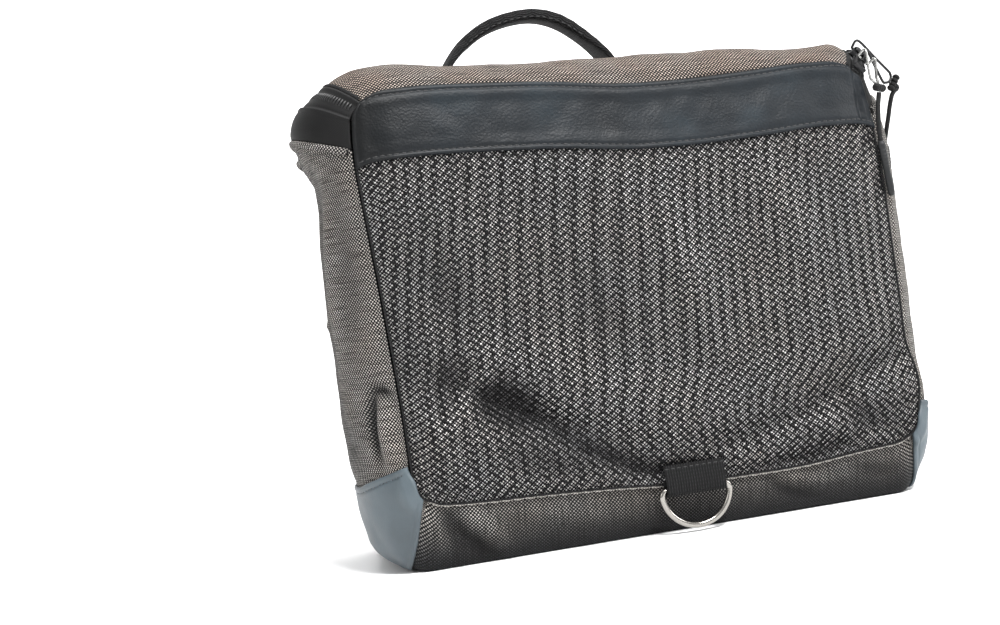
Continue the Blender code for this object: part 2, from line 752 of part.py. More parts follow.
def build_sliders(skins):
    """Each slider is a plate with a low arch, drawn as one outline swept across."""
    length = SLIDER_LENGTH / 2.0
    body = SLIDER_BODY
    high = body + SLIDER_BRIDGE
    wall = SLIDER_BRIDGE_WALL
    for name, along, across in SLIDER_PLACES:
        here, forward, over, out = slider_frame(along, across)
        start = here + out * SLIDER_LIFT
        outline = (
            # along the tape, out from the tape, half width of the slider
            (-length, 0.0, 0.36),
            (-length * 0.5, 0.0, 0.5),
            (length * 0.6, 0.0, 0.5),
            (length, 0.0, 0.44),
            (length, body * 0.8, 0.40),
            (length * 0.55, body, 0.44),
            (-length * 0.5, body, 0.44),
            (-length, body * 0.8, 0.32),
        )
        points = []
        faces = []
        count = len(outline)
        for side in (-1.0, 1.0):
            for x, y, half in outline:
                half_width = half * SLIDER_WIDTH * side
                points.append(start + forward * x + out * y + over * half_width)
        for i in range(count):
            k = (i + 1) % count
            faces.append((i, k, count + k, count + i))
        faces.append(tuple(range(count)))
        faces.append(tuple(range(count, 2 * count)))
        solid("slider_" + name, points, faces, skins["black_metal"], rounded=False)
        arch = (
            (-length * 0.80, body + LAYER_GAP),
            (-length * 0.62, body + LAYER_GAP),
            (-length * 0.50, high - wall),
            (length * 0.28, high - wall),
            (length * 0.38, body + LAYER_GAP),
            (length * 0.56, body + LAYER_GAP),
            (length * 0.46, high - wall * 0.4),
            (length * 0.30, high),
            (-length * 0.50, high),
            (-length * 0.68, high - wall * 0.4),
        )
        points = []
        faces = []
        count = len(arch)
        for side in (-1.0, 1.0):
            for x, y in arch:
                points.append(start + forward * x + out * y + over * (SLIDER_BRIDGE_HALF * side))
        for i in range(count):
            k = (i + 1) % count
            faces.append((i, k, count + k, count + i))
        faces.append(tuple(range(count)))
        faces.append(tuple(range(count, 2 * count)))
        solid("slider_bridge_" + name, points, faces, skins["black_metal"], rounded=False)


def build_pulls(skins):
    """The wire loop, the knot, the cord and the grip of each zip pull."""
    for name, along, across in SLIDER_PLACES:
        here, forward, over, out = slider_frame(along, across)
        route = [here + Vector(p) for p in PULL_STEPS[name]]
        lift = SLIDER_LIFT + SLIDER_BODY + (SLIDER_BRIDGE - SLIDER_BRIDGE_WALL) / 2.0
        top = here + out * lift
        knot, first, second, grip_top, grip_low = route
        down = (knot - top).normalized()
        wide = over - down * over.dot(down)
        wide.normalize()
        half = PULL_HALF
        low = knot - down * half
        points = [
            top - over * (half - PULL_BEND),
            top - over * half * 0.3,
            top + over * half * 0.3,
            top + over * (half - PULL_BEND),
            top + over * half + out * PULL_BEND,
            top + over * half + out * PULL_STAND,
            mix(top + over * half + out * PULL_STAND, low + wide * half, 0.5),
            low + wide * half,
        ]
        for turn in (30.0, 60.0, 90.0, 120.0, 150.0):
            angle = math.radians(turn)
            points.append(low + wide * (half * math.cos(angle)) + down * (half * math.sin(angle)))
        points += [
            low - wide * half,
            mix(top - over * half + out * PULL_STAND, low - wide * half, 0.5),
            top - over * half + out * PULL_STAND,
            top - over * half + out * PULL_BEND,
        ]
        frames = path_frames(points, closed=True, across=down.cross(wide))
        section = [round_section(PULL_WIRE / 2.0, 6)] * len(points)
        sweep("pull_loop_" + name, frames, section, skins["black_metal"], closed=True)

        knot_at = knot + down * (PULL_WIRE / 2.0 + KNOT_THICK / 2.0 + LAYER_GAP)
        points = [knot_at + wide * x for x in spread(-KNOT_HALF, KNOT_HALF, 6)]
        frames = path_frames(points, across=down)
        radii = (0.55, 0.92, 1.0, 1.0, 1.0, 0.92, 0.55)
        section = [round_section(KNOT_THICK / 2.0 * r, 8) for r in radii]
        sweep("pull_knot_" + name, frames, section, skins["cord"])

        leave = first - knot_at
        leave = (leave - wide * leave.dot(wide)).normalized()
        start = knot_at + leave * (KNOT_THICK / 2.0 + CORD_GAP)
        grip_way = (grip_low - grip_top).normalized()
        stop = grip_top - grip_way * CORD_GAP
        bend = start + leave * CORD_THICK
        line = smooth_path([start, bend, first, second, stop], 10)
        curve = bpy.data.curves.new("pull_cord_" + name, "CURVE")
        curve.dimensions = "3D"
        curve.bevel_depth = CORD_THICK / 2.0
        curve.bevel_resolution = 2
        curve.use_fill_caps = True
        spline = curve.splines.new("POLY")
        spline.points.add(len(line) - 1)
        for i, p in enumerate(line):
            spline.points[i].co = (p.x, p.y, p.z, 1.0)
        cord = bpy.data.objects.new("pull_cord_" + name, curve)
        curve.materials.append(skins["cord"])
        bpy.context.scene.collection.objects.link(cord)

        rows = (
            # share along the grip, share of the width, share of the thickness
            (0.00, 0.62, 0.80),
            (0.06, 0.80, 0.95),
            (0.30, 0.92, 0.95),
            (0.55, 0.84, 0.80),
            (0.78, 1.00, 0.90),
            (0.94, 0.96, 0.85),
            (1.00, 0.70, 0.60),
        )
        points = [mix(grip_top, grip_low, row[0]) for row in rows]
        flat_way = forward - grip_way * forward.dot(grip_way)
        flat_way.normalize()
        frames = path_frames(points, across=flat_way)
        section = []
        for _, wide_share, thick_share in rows:
            w = GRIP_WIDTH / 2.0 * wide_share
            t = GRIP_WIDTH / 2.0 * 0.8 * thick_share
            turn = 2.0 * math.pi / 10.0
            section.append([(w * math.cos(turn * i), t * math.sin(turn * i)) for i in range(10)])
        sweep("pull_grip_" + name, frames, section, skins["rubber"])


def main():
    clear_scene()
    skins = {
        "melange": material("Melange cloth", (0.25, 0.24, 0.23), 0.9),
        "net": material("Black net", (0.02, 0.02, 0.02), 0.8),
        "leather": material("Black leather", (0.045, 0.055, 0.065), 0.5),
        "tape": material("Zip tape", (0.012, 0.012, 0.014), 0.7),
        "patch": material("Coated cloth", (0.20, 0.24, 0.28), 0.6),
        "webbing": material("Webbing", (0.02, 0.02, 0.02), 0.8),
        "nickel": material("Nickel", (0.60, 0.60, 0.58), 0.25, 1.0),
        "black_metal": material("Black metal", (0.03, 0.03, 0.03), 0.35, 1.0),
        "cord": material("Black cord", (0.02, 0.02, 0.02), 0.85),
        "rubber": material("Grip rubber", (0.03, 0.03, 0.035), 0.6),
    }
    build_body(skins)
    build_patches(skins)
    build_handle(skins)
    build_ring(skins)
    build_straps(skins)
    build_sliders(skins)
    build_pulls(skins)


main()
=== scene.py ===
import math

import bmesh
import bpy
import numpy as np
from mathutils import Matrix, Vector, noise


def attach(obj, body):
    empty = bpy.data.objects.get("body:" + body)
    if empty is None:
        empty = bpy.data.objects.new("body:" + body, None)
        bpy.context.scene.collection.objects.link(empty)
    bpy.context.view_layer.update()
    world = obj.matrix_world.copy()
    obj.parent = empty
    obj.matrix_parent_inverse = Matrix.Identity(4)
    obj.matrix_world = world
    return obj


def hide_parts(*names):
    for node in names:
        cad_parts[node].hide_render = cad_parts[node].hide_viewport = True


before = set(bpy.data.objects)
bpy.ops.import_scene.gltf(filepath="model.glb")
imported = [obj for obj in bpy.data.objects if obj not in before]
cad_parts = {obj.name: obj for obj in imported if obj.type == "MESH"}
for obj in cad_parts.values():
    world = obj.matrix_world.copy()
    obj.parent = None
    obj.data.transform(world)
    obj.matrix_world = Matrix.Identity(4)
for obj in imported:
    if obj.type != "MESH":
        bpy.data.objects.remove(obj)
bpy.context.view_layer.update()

# The finished look of a handlebar bag: melange cloth, a net over the front, a band of
# coated leather, a zipped lid with two corded pulls, a webbing handle and a metal ring.
# All lengths are in metres. The front faces minus Y and plus Z is up.

# The photograph's view of the bag
VIEW_AZIMUTH = -14.0
VIEW_ROLL = 7.5
VIEW_PLACE = (-0.26536401, -0.82225942, 0.11477019)
VIEW_FOCUS_PIXELS = 1700.0
PICTURE_WIDTH_PIXELS = 1000.0
SENSOR_WIDTH_MM = 36.0

# Driving sizes of the body, as in the solid model
HALF_WIDTH = 0.146
BODY_HEIGHT = 0.232
FRONT_SEAM_Y = -0.057
BACK_SEAM_Y = 0.057
SIDE_BELLY_Y = -0.020
BOTTOM_BELLY_Y = -0.046
LID_CREST_Y = -0.037
REAR_BELLY_Y = 0.042
BACK_ROUND = 0.006
BACK_BOTTOM_RISE = 0.010
BACK_PLATE_STEP = 0.003
CORNER_ROUND = 0.085
SEAM_START_ANGLE = 20.0
PILLOW = 0.0065
PILLOW_EDGE = 0.16
SEAM_SLOPE = 0.045
CREASE_DEPTH = 0.0032
CREASE_WIDTH = 0.075
BAND_LOW = 0.665
TAPE_LOW_FRONT = 0.775
TAPE_LOW_BACK = 0.835
CLOTH_WALL = 0.0020
LAYER_GAP = 0.0004
SEAM_GAP = 0.0005
# The seam gap and the gap under the tape, as shares of the body
TRIM = SEAM_GAP / HALF_WIDTH
GUSSET_GAP = 0.004

# Sizes of the trim in the scene alone: radii of pipings, the hem, and steps between points
LID_PIPING = 0.0010
# The front one is a black cord whose dark colour paints the shadow line under the lid's edge.
LID_SHADOW_CORD = 0.0012
BACK_PIPING = 0.0014
HEM_WIDTH = 0.0034
HEM_THICK = 0.0022
HEM_STEP = 0.0012
PIPING_STEP = 0.0015

# Heights share the body height, widths share the half width. A row per level.
SIDE_LEVELS = (
    # level, left seam, left belly, left rear, right seam, right belly, right rear
    (0.00, 0.840, 0.940, 0.880, 0.840, 0.930, 0.870),
    (0.05, 0.860, 0.960, 0.900, 0.870, 0.950, 0.890),
    (0.11, 0.868, 0.979, 0.914, 0.884, 0.976, 0.905),
    (0.18, 0.866, 0.993, 0.924, 0.892, 0.993, 0.915),
    (0.22, 0.866, 1.006, 0.928, 0.904, 0.990, 0.915),
    (0.26, 0.866, 1.010, 0.930, 0.900, 0.977, 0.914),
    (0.33, 0.868, 1.015, 0.930, 0.875, 0.982, 0.914),
    (0.43, 0.876, 1.019, 0.930, 0.874, 0.988, 0.912),
    (0.55, 0.886, 1.022, 0.928, 0.872, 0.998, 0.908),
    (0.65, 0.896, 1.014, 0.924, 0.870, 1.003, 0.900),
    (0.74, 0.906, 1.003, 0.925, 0.863, 0.996, 0.890),
    (0.80, 0.912, 1.006, 0.935, 0.855, 0.974, 0.880),
    (0.85, 0.913, 1.032, 0.965, 0.844, 0.945, 0.872),
    (0.90, 0.908, 1.060, 0.995, 0.832, 0.915, 0.865),
    (0.94, 0.900, 1.046, 0.985, 0.822, 0.900, 0.860),
    (0.98, 0.890, 1.000, 0.950, 0.815, 0.892, 0.855),
    (1.03, 0.880, 0.960, 0.910, 0.810, 0.885, 0.850),
)
EDGE_LEVELS = (
    # across, bottom seam, band top, lid crest, lid rear
    (-1.00, 0.136, 0.955, 1.012, 0.985),
    (-0.75, 0.125, 0.960, 1.022, 0.995),
    (-0.50, 0.119, 0.953, 1.006, 0.998),
    (-0.25, 0.110, 0.943, 0.999, 0.998),
    (0.00, 0.098, 0.926, 0.996, 0.997),
    (0.25, 0.095, 0.921, 0.993, 0.996),
    (0.50, 0.095, 0.924, 0.986, 0.993),
    (0.75, 0.106, 0.930, 0.974, 0.985),
    (1.00, 0.112, 0.925, 0.985, 0.970),
)
# The line under the pillow of the front, where it hangs over and tucks in.
SMILE_LINE = (
    # across, height of the crease, its strength
    (-1.00, -0.30, 0.0),
    (-0.82, -0.42, 0.3),
    (-0.66, -0.52, 0.8),
    (-0.45, -0.62, 1.0),
    (-0.15, -0.76, 1.0),
    (0.15, -0.80, 1.1),
    (0.45, -0.74, 0.9),
    (0.80, -0.58, 0.9),
    (1.00, -0.52, 0.4),
)
# Soft swells and dents of the front, each a round bump.
FRONT_SWELLS = (
    # across, up, reach across, reach up, height
    (0.10, 0.20, 0.60, 0.45, 0.0022),
    (-0.55, -0.10, 0.22, 0.40, -0.0012),
    (-0.62, -0.40, 0.16, 0.22, -0.0026),
    (-0.45, -0.36, 0.16, 0.16, 0.0014),
    (0.62, -0.30, 0.30, 0.25, 0.0016),
    (-0.86, -0.62, 0.16, 0.20, 0.0018),
)


# Shape of the body

def mix(a, b, t):
    return a + (b - a) * t


def smooth(t):
    t = np.clip(t, 0.0, 1.0)
    return t * t * (3.0 - 2.0 * t)


def bell(distance, reach):
    """A soft hump that is 1 in its middle and fades over its reach."""
    return np.exp(-(distance / reach) ** 2)


def table(rows, column, where):
    """Reads one column of a table with a smooth curve through its rows."""
    keys = np.array([row[0] for row in rows])
    values = np.array([row[column] for row in rows])
    where = np.clip(where, keys[0], keys[-1])
    i = np.clip(np.searchsorted(keys, where) - 1, 0, len(keys) - 2)
    step = keys[i + 1] - keys[i]
    t = (where - keys[i]) / step
    before = np.maximum(i - 1, 0)
    after = np.minimum(i + 2, len(keys) - 1)
    slope_a = (values[i + 1] - values[before]) / (keys[i + 1] - keys[before])
    slope_b = (values[after] - values[i]) / (keys[after] - keys[i])
    t2 = t * t
    t3 = t2 * t
    ease_in = (2 * t3 - 3 * t2 + 1) * values[i] + (t3 - 2 * t2 + t) * step * slope_a
    ease_out = (3 * t2 - 2 * t3) * values[i + 1] + (t3 - t2) * step * slope_b
    return ease_in + ease_out


def unit(ways):
    """Ways scaled to a length of one."""
    return ways / np.linalg.norm(ways, axis=-1, keepdims=True)


def grid(us, vs):
    return np.meshgrid(us, vs, indexing="ij")


def near_edge(share):
    return np.maximum(0.0, (np.abs(share) - (1.0 - CORNER_ROUND)) / CORNER_ROUND)


def side_x(ring, height, across):
    """Half widths of a ring at a height, mixed from its left to its right side."""
    level = height / BODY_HEIGHT
    column = (1, 2, 3, 3)[ring]
    left = table(SIDE_LEVELS, column, level) * HALF_WIDTH
    right = table(SIDE_LEVELS, column + 3, level) * HALF_WIDTH
    if ring == 3:
        left = left - BACK_ROUND
        right = right - BACK_ROUND
    return mix(-left, right, (across + 1.0) / 2.0)


def ring_point(ring, a, b):
    """Points of one of the four rings, from shares across and up its square."""
    across = a * (1.0 - 0.5 * CORNER_ROUND * near_edge(b) ** 2)
    up = b * (1.0 - 0.5 * CORNER_ROUND * near_edge(a) ** 2)
    if ring == 0:
        low = table(EDGE_LEVELS, 1, across) * BODY_HEIGHT
        high = table(EDGE_LEVELS, 2, across) * BODY_HEIGHT
    elif ring == 1:
        low = 0.0
        high = table(EDGE_LEVELS, 3, across) * BODY_HEIGHT
    elif ring == 2:
        low = 0.0
        high = table(EDGE_LEVELS, 4, across) * BODY_HEIGHT
    else:
        low = BACK_BOTTOM_RISE
        high = table(EDGE_LEVELS, 4, across) * BODY_HEIGHT - BACK_ROUND
    z = mix(low, high, (up + 1.0) / 2.0)
    return side_x(ring, z, across), z


def rim_point(a, b, v):
    """The body between the front seam (v = 0) and the back seam (v = 1)."""
    a, b, v = np.broadcast_arrays(a, b, v)
    sideness = 0.5 * (1.0 + near_edge(a) ** 2 - near_edge(b) ** 2)
    upper = np.where(b < 0.0, BOTTOM_BELLY_Y, LID_CREST_Y)
    belly_y = mix(upper, SIDE_BELLY_Y, sideness)
    x0, z0 = ring_point(0, a, b)
    x1, z1 = ring_point(1, a, b)
    x2, z2 = ring_point(2, a, b)
    x3, z3 = ring_point(3, a, b)
    first = 0.36
    second = 0.80
    start = math.radians(SEAM_START_ANGLE)
    angle = mix(start, math.pi / 2.0, np.clip(v, 0.0, first) / first)
    out = (np.sin(angle) - math.sin(start)) / (1.0 - math.sin(start))
    back = np.cos(angle) / math.cos(start)
    front = (mix(x0, x1, out), mix(belly_y, FRONT_SEAM_Y, back), mix(z0, z1, out))
    t = (np.clip(v, first, second) - first) / (second - first)
    middle = (mix(x1, x2, smooth(t)), mix(belly_y, REAR_BELLY_Y, t), mix(z1, z2, smooth(t)))
    turn = (np.clip(v, second, 1.0) - second) / (1.0 - second) * math.pi / 2.0
    rear_y = mix(REAR_BELLY_Y, BACK_SEAM_Y, np.sin(turn))
    rear = (mix(x3, x2, np.cos(turn)), rear_y, mix(z3, z2, np.cos(turn)))
    made = [np.where(v <= first, f, np.where(v <= second, m, r)) for f, m, r in zip(front, middle, rear)]
    return np.stack(made, -1)


def pillow(a, b):
    """How far the front stands out from its seams."""
    round_share = np.sqrt(np.maximum(0.0, 1.0 - a * a))
    across = smooth((1.0 - np.abs(a)) / PILLOW_EDGE) * 0.45 + round_share * 0.55
    low = np.clip((b + 1.0) / (2.0 * PILLOW_EDGE), 0.0, 1.0)
    top = np.clip((1.0 - b) / 0.30, 0.0, 1.0)
    out = PILLOW * across * (0.45 * smooth(low) + 0.55 * np.sin(math.pi * 0.5 * low))
    out = out * mix(0.42, 1.0, smooth(top))
    line = table(SMILE_LINE, 1, a)
    strength = table(SMILE_LINE, 2, a)
    out = out - CREASE_DEPTH * strength * bell(b - line, CREASE_WIDTH)
    hang = b - line - 2.2 * CREASE_WIDTH
    out = out + 0.7 * CREASE_DEPTH * strength * bell(hang, 2.0 * CREASE_WIDTH)
    for x, up, wide, tall, high in FRONT_SWELLS:
        out = out + high * bell(a - x, wide) * bell(b - up, tall)
    return np.maximum(out, 0.05 * PILLOW)


def front_point(a, b):
    a, b = np.broadcast_arrays(a, b)
    x, z = ring_point(0, a, b)
    hold = 1.0 - SEAM_SLOPE
    edge = np.clip(np.minimum(1.0 - np.abs(a), 1.0 + b) / SEAM_SLOPE, 0.0, 1.0)
    out = pillow(np.clip(a, -hold, hold), np.maximum(b, -hold)) * edge
    return np.stack((x, FRONT_SEAM_Y - out, z), -1)


def back_point(a, b):
    a, b = np.broadcast_arrays(a, b)
    x, z = ring_point(3, a, b)
    step = smooth((1.0 - np.abs(a)) / 0.22) * smooth((1.0 + b) / 0.22) * smooth((0.80 - b) / 0.16)
    return np.stack((x, BACK_SEAM_Y + BACK_PLATE_STEP * step, z), -1)


def tape_low(v):
    return mix(TAPE_LOW_FRONT, TAPE_LOW_BACK, smooth(np.asarray(v) * 1.6))


def gusset_point(s, v):
    """The cloth strip down the left side (0 to 1), under (to 2) and up the right side."""
    s, v = np.broadcast_arrays(s, v)
    top = tape_low(v) - GUSSET_GAP
    left = rim_point(-1.0, mix(top, -1.0, np.clip(s, 0.0, 1.0)), v)
    under = rim_point(mix(-1.0, 1.0, np.clip(s - 1.0, 0.0, 1.0)), -1.0, v)
    right = rim_point(1.0, mix(-1.0, top, np.clip(s - 2.0, 0.0, 1.0)), v)
    s = s[..., None]
    return np.where(s <= 1.0, left, np.where(s <= 2.0, under, right))


def lid_point(a, v):
    return rim_point(a, 1.0, v)


def tape_point(s, w):
    """The zip tape along the left side (0 to 1), the back (to 2) and the right side."""
    s, w = np.broadcast_arrays(s, w)
    first = np.clip(s, 0.0, 1.0)
    last = np.clip(3.0 - s, 0.0, 1.0)
    left = rim_point(-1.0, mix(tape_low(first), 1.0, w), first)
    behind = back_point(mix(-1.0, 1.0, np.clip(s - 1.0, 0.0, 1.0)), mix(TAPE_LOW_BACK, 1.0, w))
    right = rim_point(1.0, mix(tape_low(last), 1.0, w), last)
    s = s[..., None]
    return np.where(s <= 1.0, left, np.where(s <= 2.0, behind, right))


# Making meshes

def normals(points, side):
    """The way out of a grid of points."""
    along = np.gradient(points, axis=0)
    up = np.gradient(points, axis=1)
    made = np.cross(along, up)
    size = np.linalg.norm(made, axis=-1, keepdims=True)
    return made / np.maximum(size, 1e-12) * side


def lengths(points, axis):
    """Distance along a grid from its middle line, which the threads of a weave follow."""
    steps = np.linalg.norm(np.diff(points, axis=axis), axis=-1)
    start = np.zeros_like(np.take(steps, [0], axis))
    total = np.concatenate((start, np.cumsum(steps, axis)), axis)
    return total - np.take(total, [total.shape[axis] // 2], axis)


def place_object(name, data):
    made = bpy.data.objects.new(name, data)
    bpy.context.scene.collection.objects.link(made)
    return made


def run_along(path):
    """The distance from the start of a path to each of its points."""
    return np.concatenate(([0.0], np.cumsum(np.linalg.norm(np.diff(path, axis=0), axis=1))))


def forward_along(path, closed=False):
    """The way ahead at each point of a path."""
    if closed:
        return unit(np.roll(path, -1, 0) - np.roll(path, 1, 0))
    return unit(np.gradient(path, axis=0))


def dress(name, points, faces, finish, threads=None):
    """Makes a smooth piece, with its thread map in metres and its finish."""
    mesh = bpy.data.meshes.new(name)
    mesh.from_pydata(points.reshape(-1, 3).tolist(), [], faces)
    if threads is not None:
        layer = mesh.uv_layers.new(name="threads")
        corner = np.zeros(len(mesh.loops), np.int32)
        mesh.loops.foreach_get("vertex_index", corner)
        layer.data.foreach_set("uv", np.asarray(threads, np.float32)[corner].ravel())
    mesh.polygons.foreach_set("use_smooth", np.ones(len(mesh.polygons), bool))
    mesh.materials.append(finish)
    mesh.update()
    return place_object(name, mesh)


def shell(name, outer, inner, side, threads, finish, painted_shading=None):
    """A closed sheet between two grids of points: its outer and its inner face. A shading value per point,
    from -1 in a dent to 1 on a ridge, is kept for the finish, which paints shade into the dents and light
    onto the ridges."""
    rows, columns = outer.shape[:2]
    count = rows * columns
    points = np.concatenate((outer.reshape(-1, 3), inner.reshape(-1, 3)))
    index = np.arange(count).reshape(rows, columns)
    face = np.stack((index[:-1, :-1], index[1:, :-1], index[1:, 1:], index[:-1, 1:]), 2)
    face = face.reshape(-1, 4)
    rim = np.concatenate((index[:, 0], index[-1, 1:], index[-2::-1, -1], index[0, -2:0:-1]))
    ahead = np.roll(rim, -1)
    wall = np.stack((ahead, rim, rim + count, ahead + count), 1)
    faces = np.concatenate((face, face[:, ::-1] + count, wall))
    if side < 0.0:
        faces = faces[:, ::-1]
    threads = threads.reshape(-1, 2)
    piece = dress(name, points, faces.tolist(), finish, np.concatenate((threads, threads)))
    if painted_shading is not None:
        layer = piece.data.attributes.new("painted_shading", "FLOAT", "POINT")
        layer.data.foreach_set("value", np.tile(painted_shading.ravel(), 2).astype(np.float32))
    return piece


def sweep(name, path, sections, across, finish, closed=False):
    """Joins cross sections along a path; the given direction stays the across direction."""
    path = np.asarray(path, float)
    forward = forward_along(path, closed)
    across = np.broadcast_to(np.asarray(across, float), path.shape)
    wide = unit(across - forward * np.sum(across * forward, 1, keepdims=True))
    over = np.cross(forward, wide)
    sections = np.asarray(sections, float)
    if sections.ndim == 2:
        sections = np.broadcast_to(sections, (len(path),) + sections.shape)
    count = sections.shape[1]
    points = path[:, None] + wide[:, None] * sections[..., :1] + over[:, None] * sections[..., 1:]
    rows = len(path)
    index = np.arange(rows * count).reshape(rows, count)
    if closed:
        index = np.concatenate((index, index[:1]))
    ahead = np.roll(index, -1, 1)
    face = np.stack((index[:-1], ahead[:-1], ahead[1:], index[1:]), 2).reshape(-1, 4)
    faces = face.tolist()
    if not closed:
        faces.append(list(range(count))[::-1])
        faces.append(list(range((rows - 1) * count, rows * count)))
    around = np.linalg.norm(np.diff(sections, axis=1, append=sections[:, :1]), axis=2)
    around = np.cumsum(around, 1) - around
    along = np.broadcast_to(run_along(path)[:, None], around.shape)
    return dress(name, points, faces, finish, np.stack((along, around), 2).reshape(-1, 2))


def arc(centre, across, up, degrees):
    """Points round a centre, by two half axes and a list of angles."""
    turns = np.radians(degrees)
    return [centre + across * math.cos(turn) + up * math.sin(turn) for turn in turns]


def smooth_path(points, count):
    """Reads a smooth curve through the given points at even shares."""
    points = np.asarray(points, float)
    last = len(points) - 1
    at = np.linspace(0.0, last, count + 1)
    k = np.minimum(at.astype(int), last - 1)
    t = (at - k)[:, None]
    p0 = points[np.maximum(k - 1, 0)]
    p1 = points[k]
    p2 = points[k + 1]
    p3 = points[np.minimum(k + 2, last)]
    cubic = (p1 - p2) * 3.0 + p3 - p0
    square = p0 * 2.0 - p1 * 5.0 + p2 * 4.0 - p3
    return (p1 * 2.0 + (p2 - p0) * t + square * t * t + cubic * t * t * t) * 0.5


def round_section(radius, count=16):
    turn = np.arange(count) * 2.0 * math.pi / count
    return np.stack((radius * np.cos(turn), radius * np.sin(turn)), 1)


def squared_round(count, power):
    """Across and up shares of a rounded square; a lower power makes its corners sharper."""
    turn = np.linspace(0.0, 2.0 * math.pi, count + 1)[:-1]
    return [np.sign(way) * np.abs(way) ** power for way in (np.cos(turn), np.sin(turn))]


def webbing_section(width, thick, count=12):
    """A flat cross section with round edges and an even run of points over each face."""
    edge = thick * 0.5
    turn = np.linspace(-math.pi / 2.0, math.pi / 2.0, 5)
    right = np.stack((width / 2.0 - edge + edge * np.cos(turn), edge * np.sin(turn)), 1)
    run = np.linspace(width / 2.0 - edge, -width / 2.0 + edge, count + 1)[1:-1]
    top = np.stack((run, np.full_like(run, edge)), 1)
    return np.concatenate((right, top, -right, -top))


def cloth_noise(points, reach, seed):
    """Soft unevenness between minus 1 and 1, the same at every run."""
    flat = points.reshape(-1, 3) / reach + seed
    made = np.array([noise.noise(Vector(p)) for p in flat])
    return made.reshape(points.shape[:-1])


def folds(x, z, rows):
    """Adds up soft ridges and dents; each row is a bowed line with a reach and a height."""
    total = np.zeros_like(x)
    for x0, z0, x1, z1, bow, reach, height in rows:
        run = math.hypot(x1 - x0, z1 - z0)
        along = ((x - x0) * (x1 - x0) + (z - z0) * (z1 - z0)) / run ** 2
        off = ((z - z0) * (x1 - x0) - (x - x0) * (z1 - z0)) / run
        t = np.clip(along, 0.0, 1.0)
        off = off - bow * 4.0 * t * (1.0 - t)
        past = np.maximum(np.abs(along - 0.5) - 0.5, 0.0) * run
        taper = 0.3 + 0.7 * np.sin(math.pi * t)
        total = total + height * bell(off, reach) * bell(past, reach) * taper
    return total


# Finishes

def linear(code):
    """Turns an sRGB hex colour into linear light."""
    parts = [int(code[i:i + 2], 16) / 255.0 for i in (1, 3, 5)]
    light = [p / 12.92 if p <= 0.04045 else ((p + 0.055) / 1.055) ** 2.4 for p in parts]
    return (*light, 1.0)


def add(tree, kind, links=(), **settings):
    """Adds a shader node; links are pairs of an input and a socket or a value."""
    made = tree.nodes.new("ShaderNode" + kind)
    for name, value in settings.items():
        setattr(made, name, value)
    for key, value in links:
        if isinstance(value, bpy.types.NodeSocket):
            tree.links.new(value, made.inputs[key])
        else:
            made.inputs[key].default_value = value
    return made


def start_finish(name, **shader):
    """A material with a cleared tree, its shader and its output."""
    made = bpy.data.materials.new(name)
    made.use_nodes = True
    tree = made.node_tree
    tree.nodes.clear()
    skin = add(tree, "BsdfPrincipled", [(key.replace("_", " "), value) for key, value in shader.items()])
    add(tree, "OutputMaterial", [("Surface", skin.outputs[0])])
    return made, tree, skin


def coat(made, skin, tone, height=None, strength=0.0, depth=0.0, gloss=None):
    """Joins the colour, the gloss and the bump of a finish to its shader."""
    tree = made.node_tree
    tree.links.new(tone, skin.inputs["Base Color"])
    if gloss is not None:
        tree.links.new(gloss, skin.inputs["Roughness"])
    if height is not None:
        bump = add(tree, "Bump", [("Height", height), ("Strength", strength), ("Distance", depth)])
        tree.links.new(bump.outputs[0], skin.inputs["Normal"])
    return made


def solid_place(tree):
    return add(tree, "TexCoord").outputs["Object"]


def thread_place(tree):
    return add(tree, "UVMap", uv_map="threads").outputs[0]


def parts(tree, where):
    """The three numbers of a place."""
    return add(tree, "SeparateXYZ", [(0, where)]).outputs


def grain(tree, where, scale, detail):
    """Soft noise, by its number of blots per metre."""
    return add(tree, "TexNoise", [("Vector", where), ("Scale", scale), ("Detail", detail)]).outputs[0]


def between(tree, value, low, high, **settings):
    """Where a value lies between two ends, from 0 to 1."""
    links = [("Value", value), ("From Min", low), ("From Max", high)]
    return add(tree, "MapRange", links, **settings).outputs[0]


def spread(tree, value, low, high):
    """A share of 0 to 1 as a value between two ends."""
    return add(tree, "MapRange", [("Value", value), ("To Min", low), ("To Max", high)]).outputs[0]


def ramp(tree, value, stops):
    """A colour ramp through pairs of a place and a hex colour."""
    made = add(tree, "ValToRGB", [("Fac", value)])
    elements = made.color_ramp.elements
    elements.remove(elements[1])
    elements[0].position = stops[0][0]
    elements[0].color = linear(stops[0][1])
    for place, code in stops[1:]:
        elements.new(place).color = linear(code)
    return made.outputs[0]


def tinted(tree, colour, tint, share=1.0):
    """A colour multiplied by a tint."""
    return add(tree, "Mix", [("Factor", share), (6, colour), (7, tint)], data_type="RGBA",
               blend_type="MULTIPLY").outputs[2]


def sums(tree, operation, first, second=0.0, third=None):
    """One step of arithmetic on two or three values."""
    links = [(0, first), (1, second)]
    if third is not None:
        links.append((2, third))
    return add(tree, "Math", links, operation=operation).outputs[0]


def wave(tree, value, pitch):
    """A sine between minus 1 and 1 that repeats at a pitch in metres."""
    return sums(tree, "SINE", sums(tree, "MULTIPLY", value, 2.0 * math.pi / pitch))


# The side of one square of the cloth's checker, which is half a wave
YARN = 0.00088


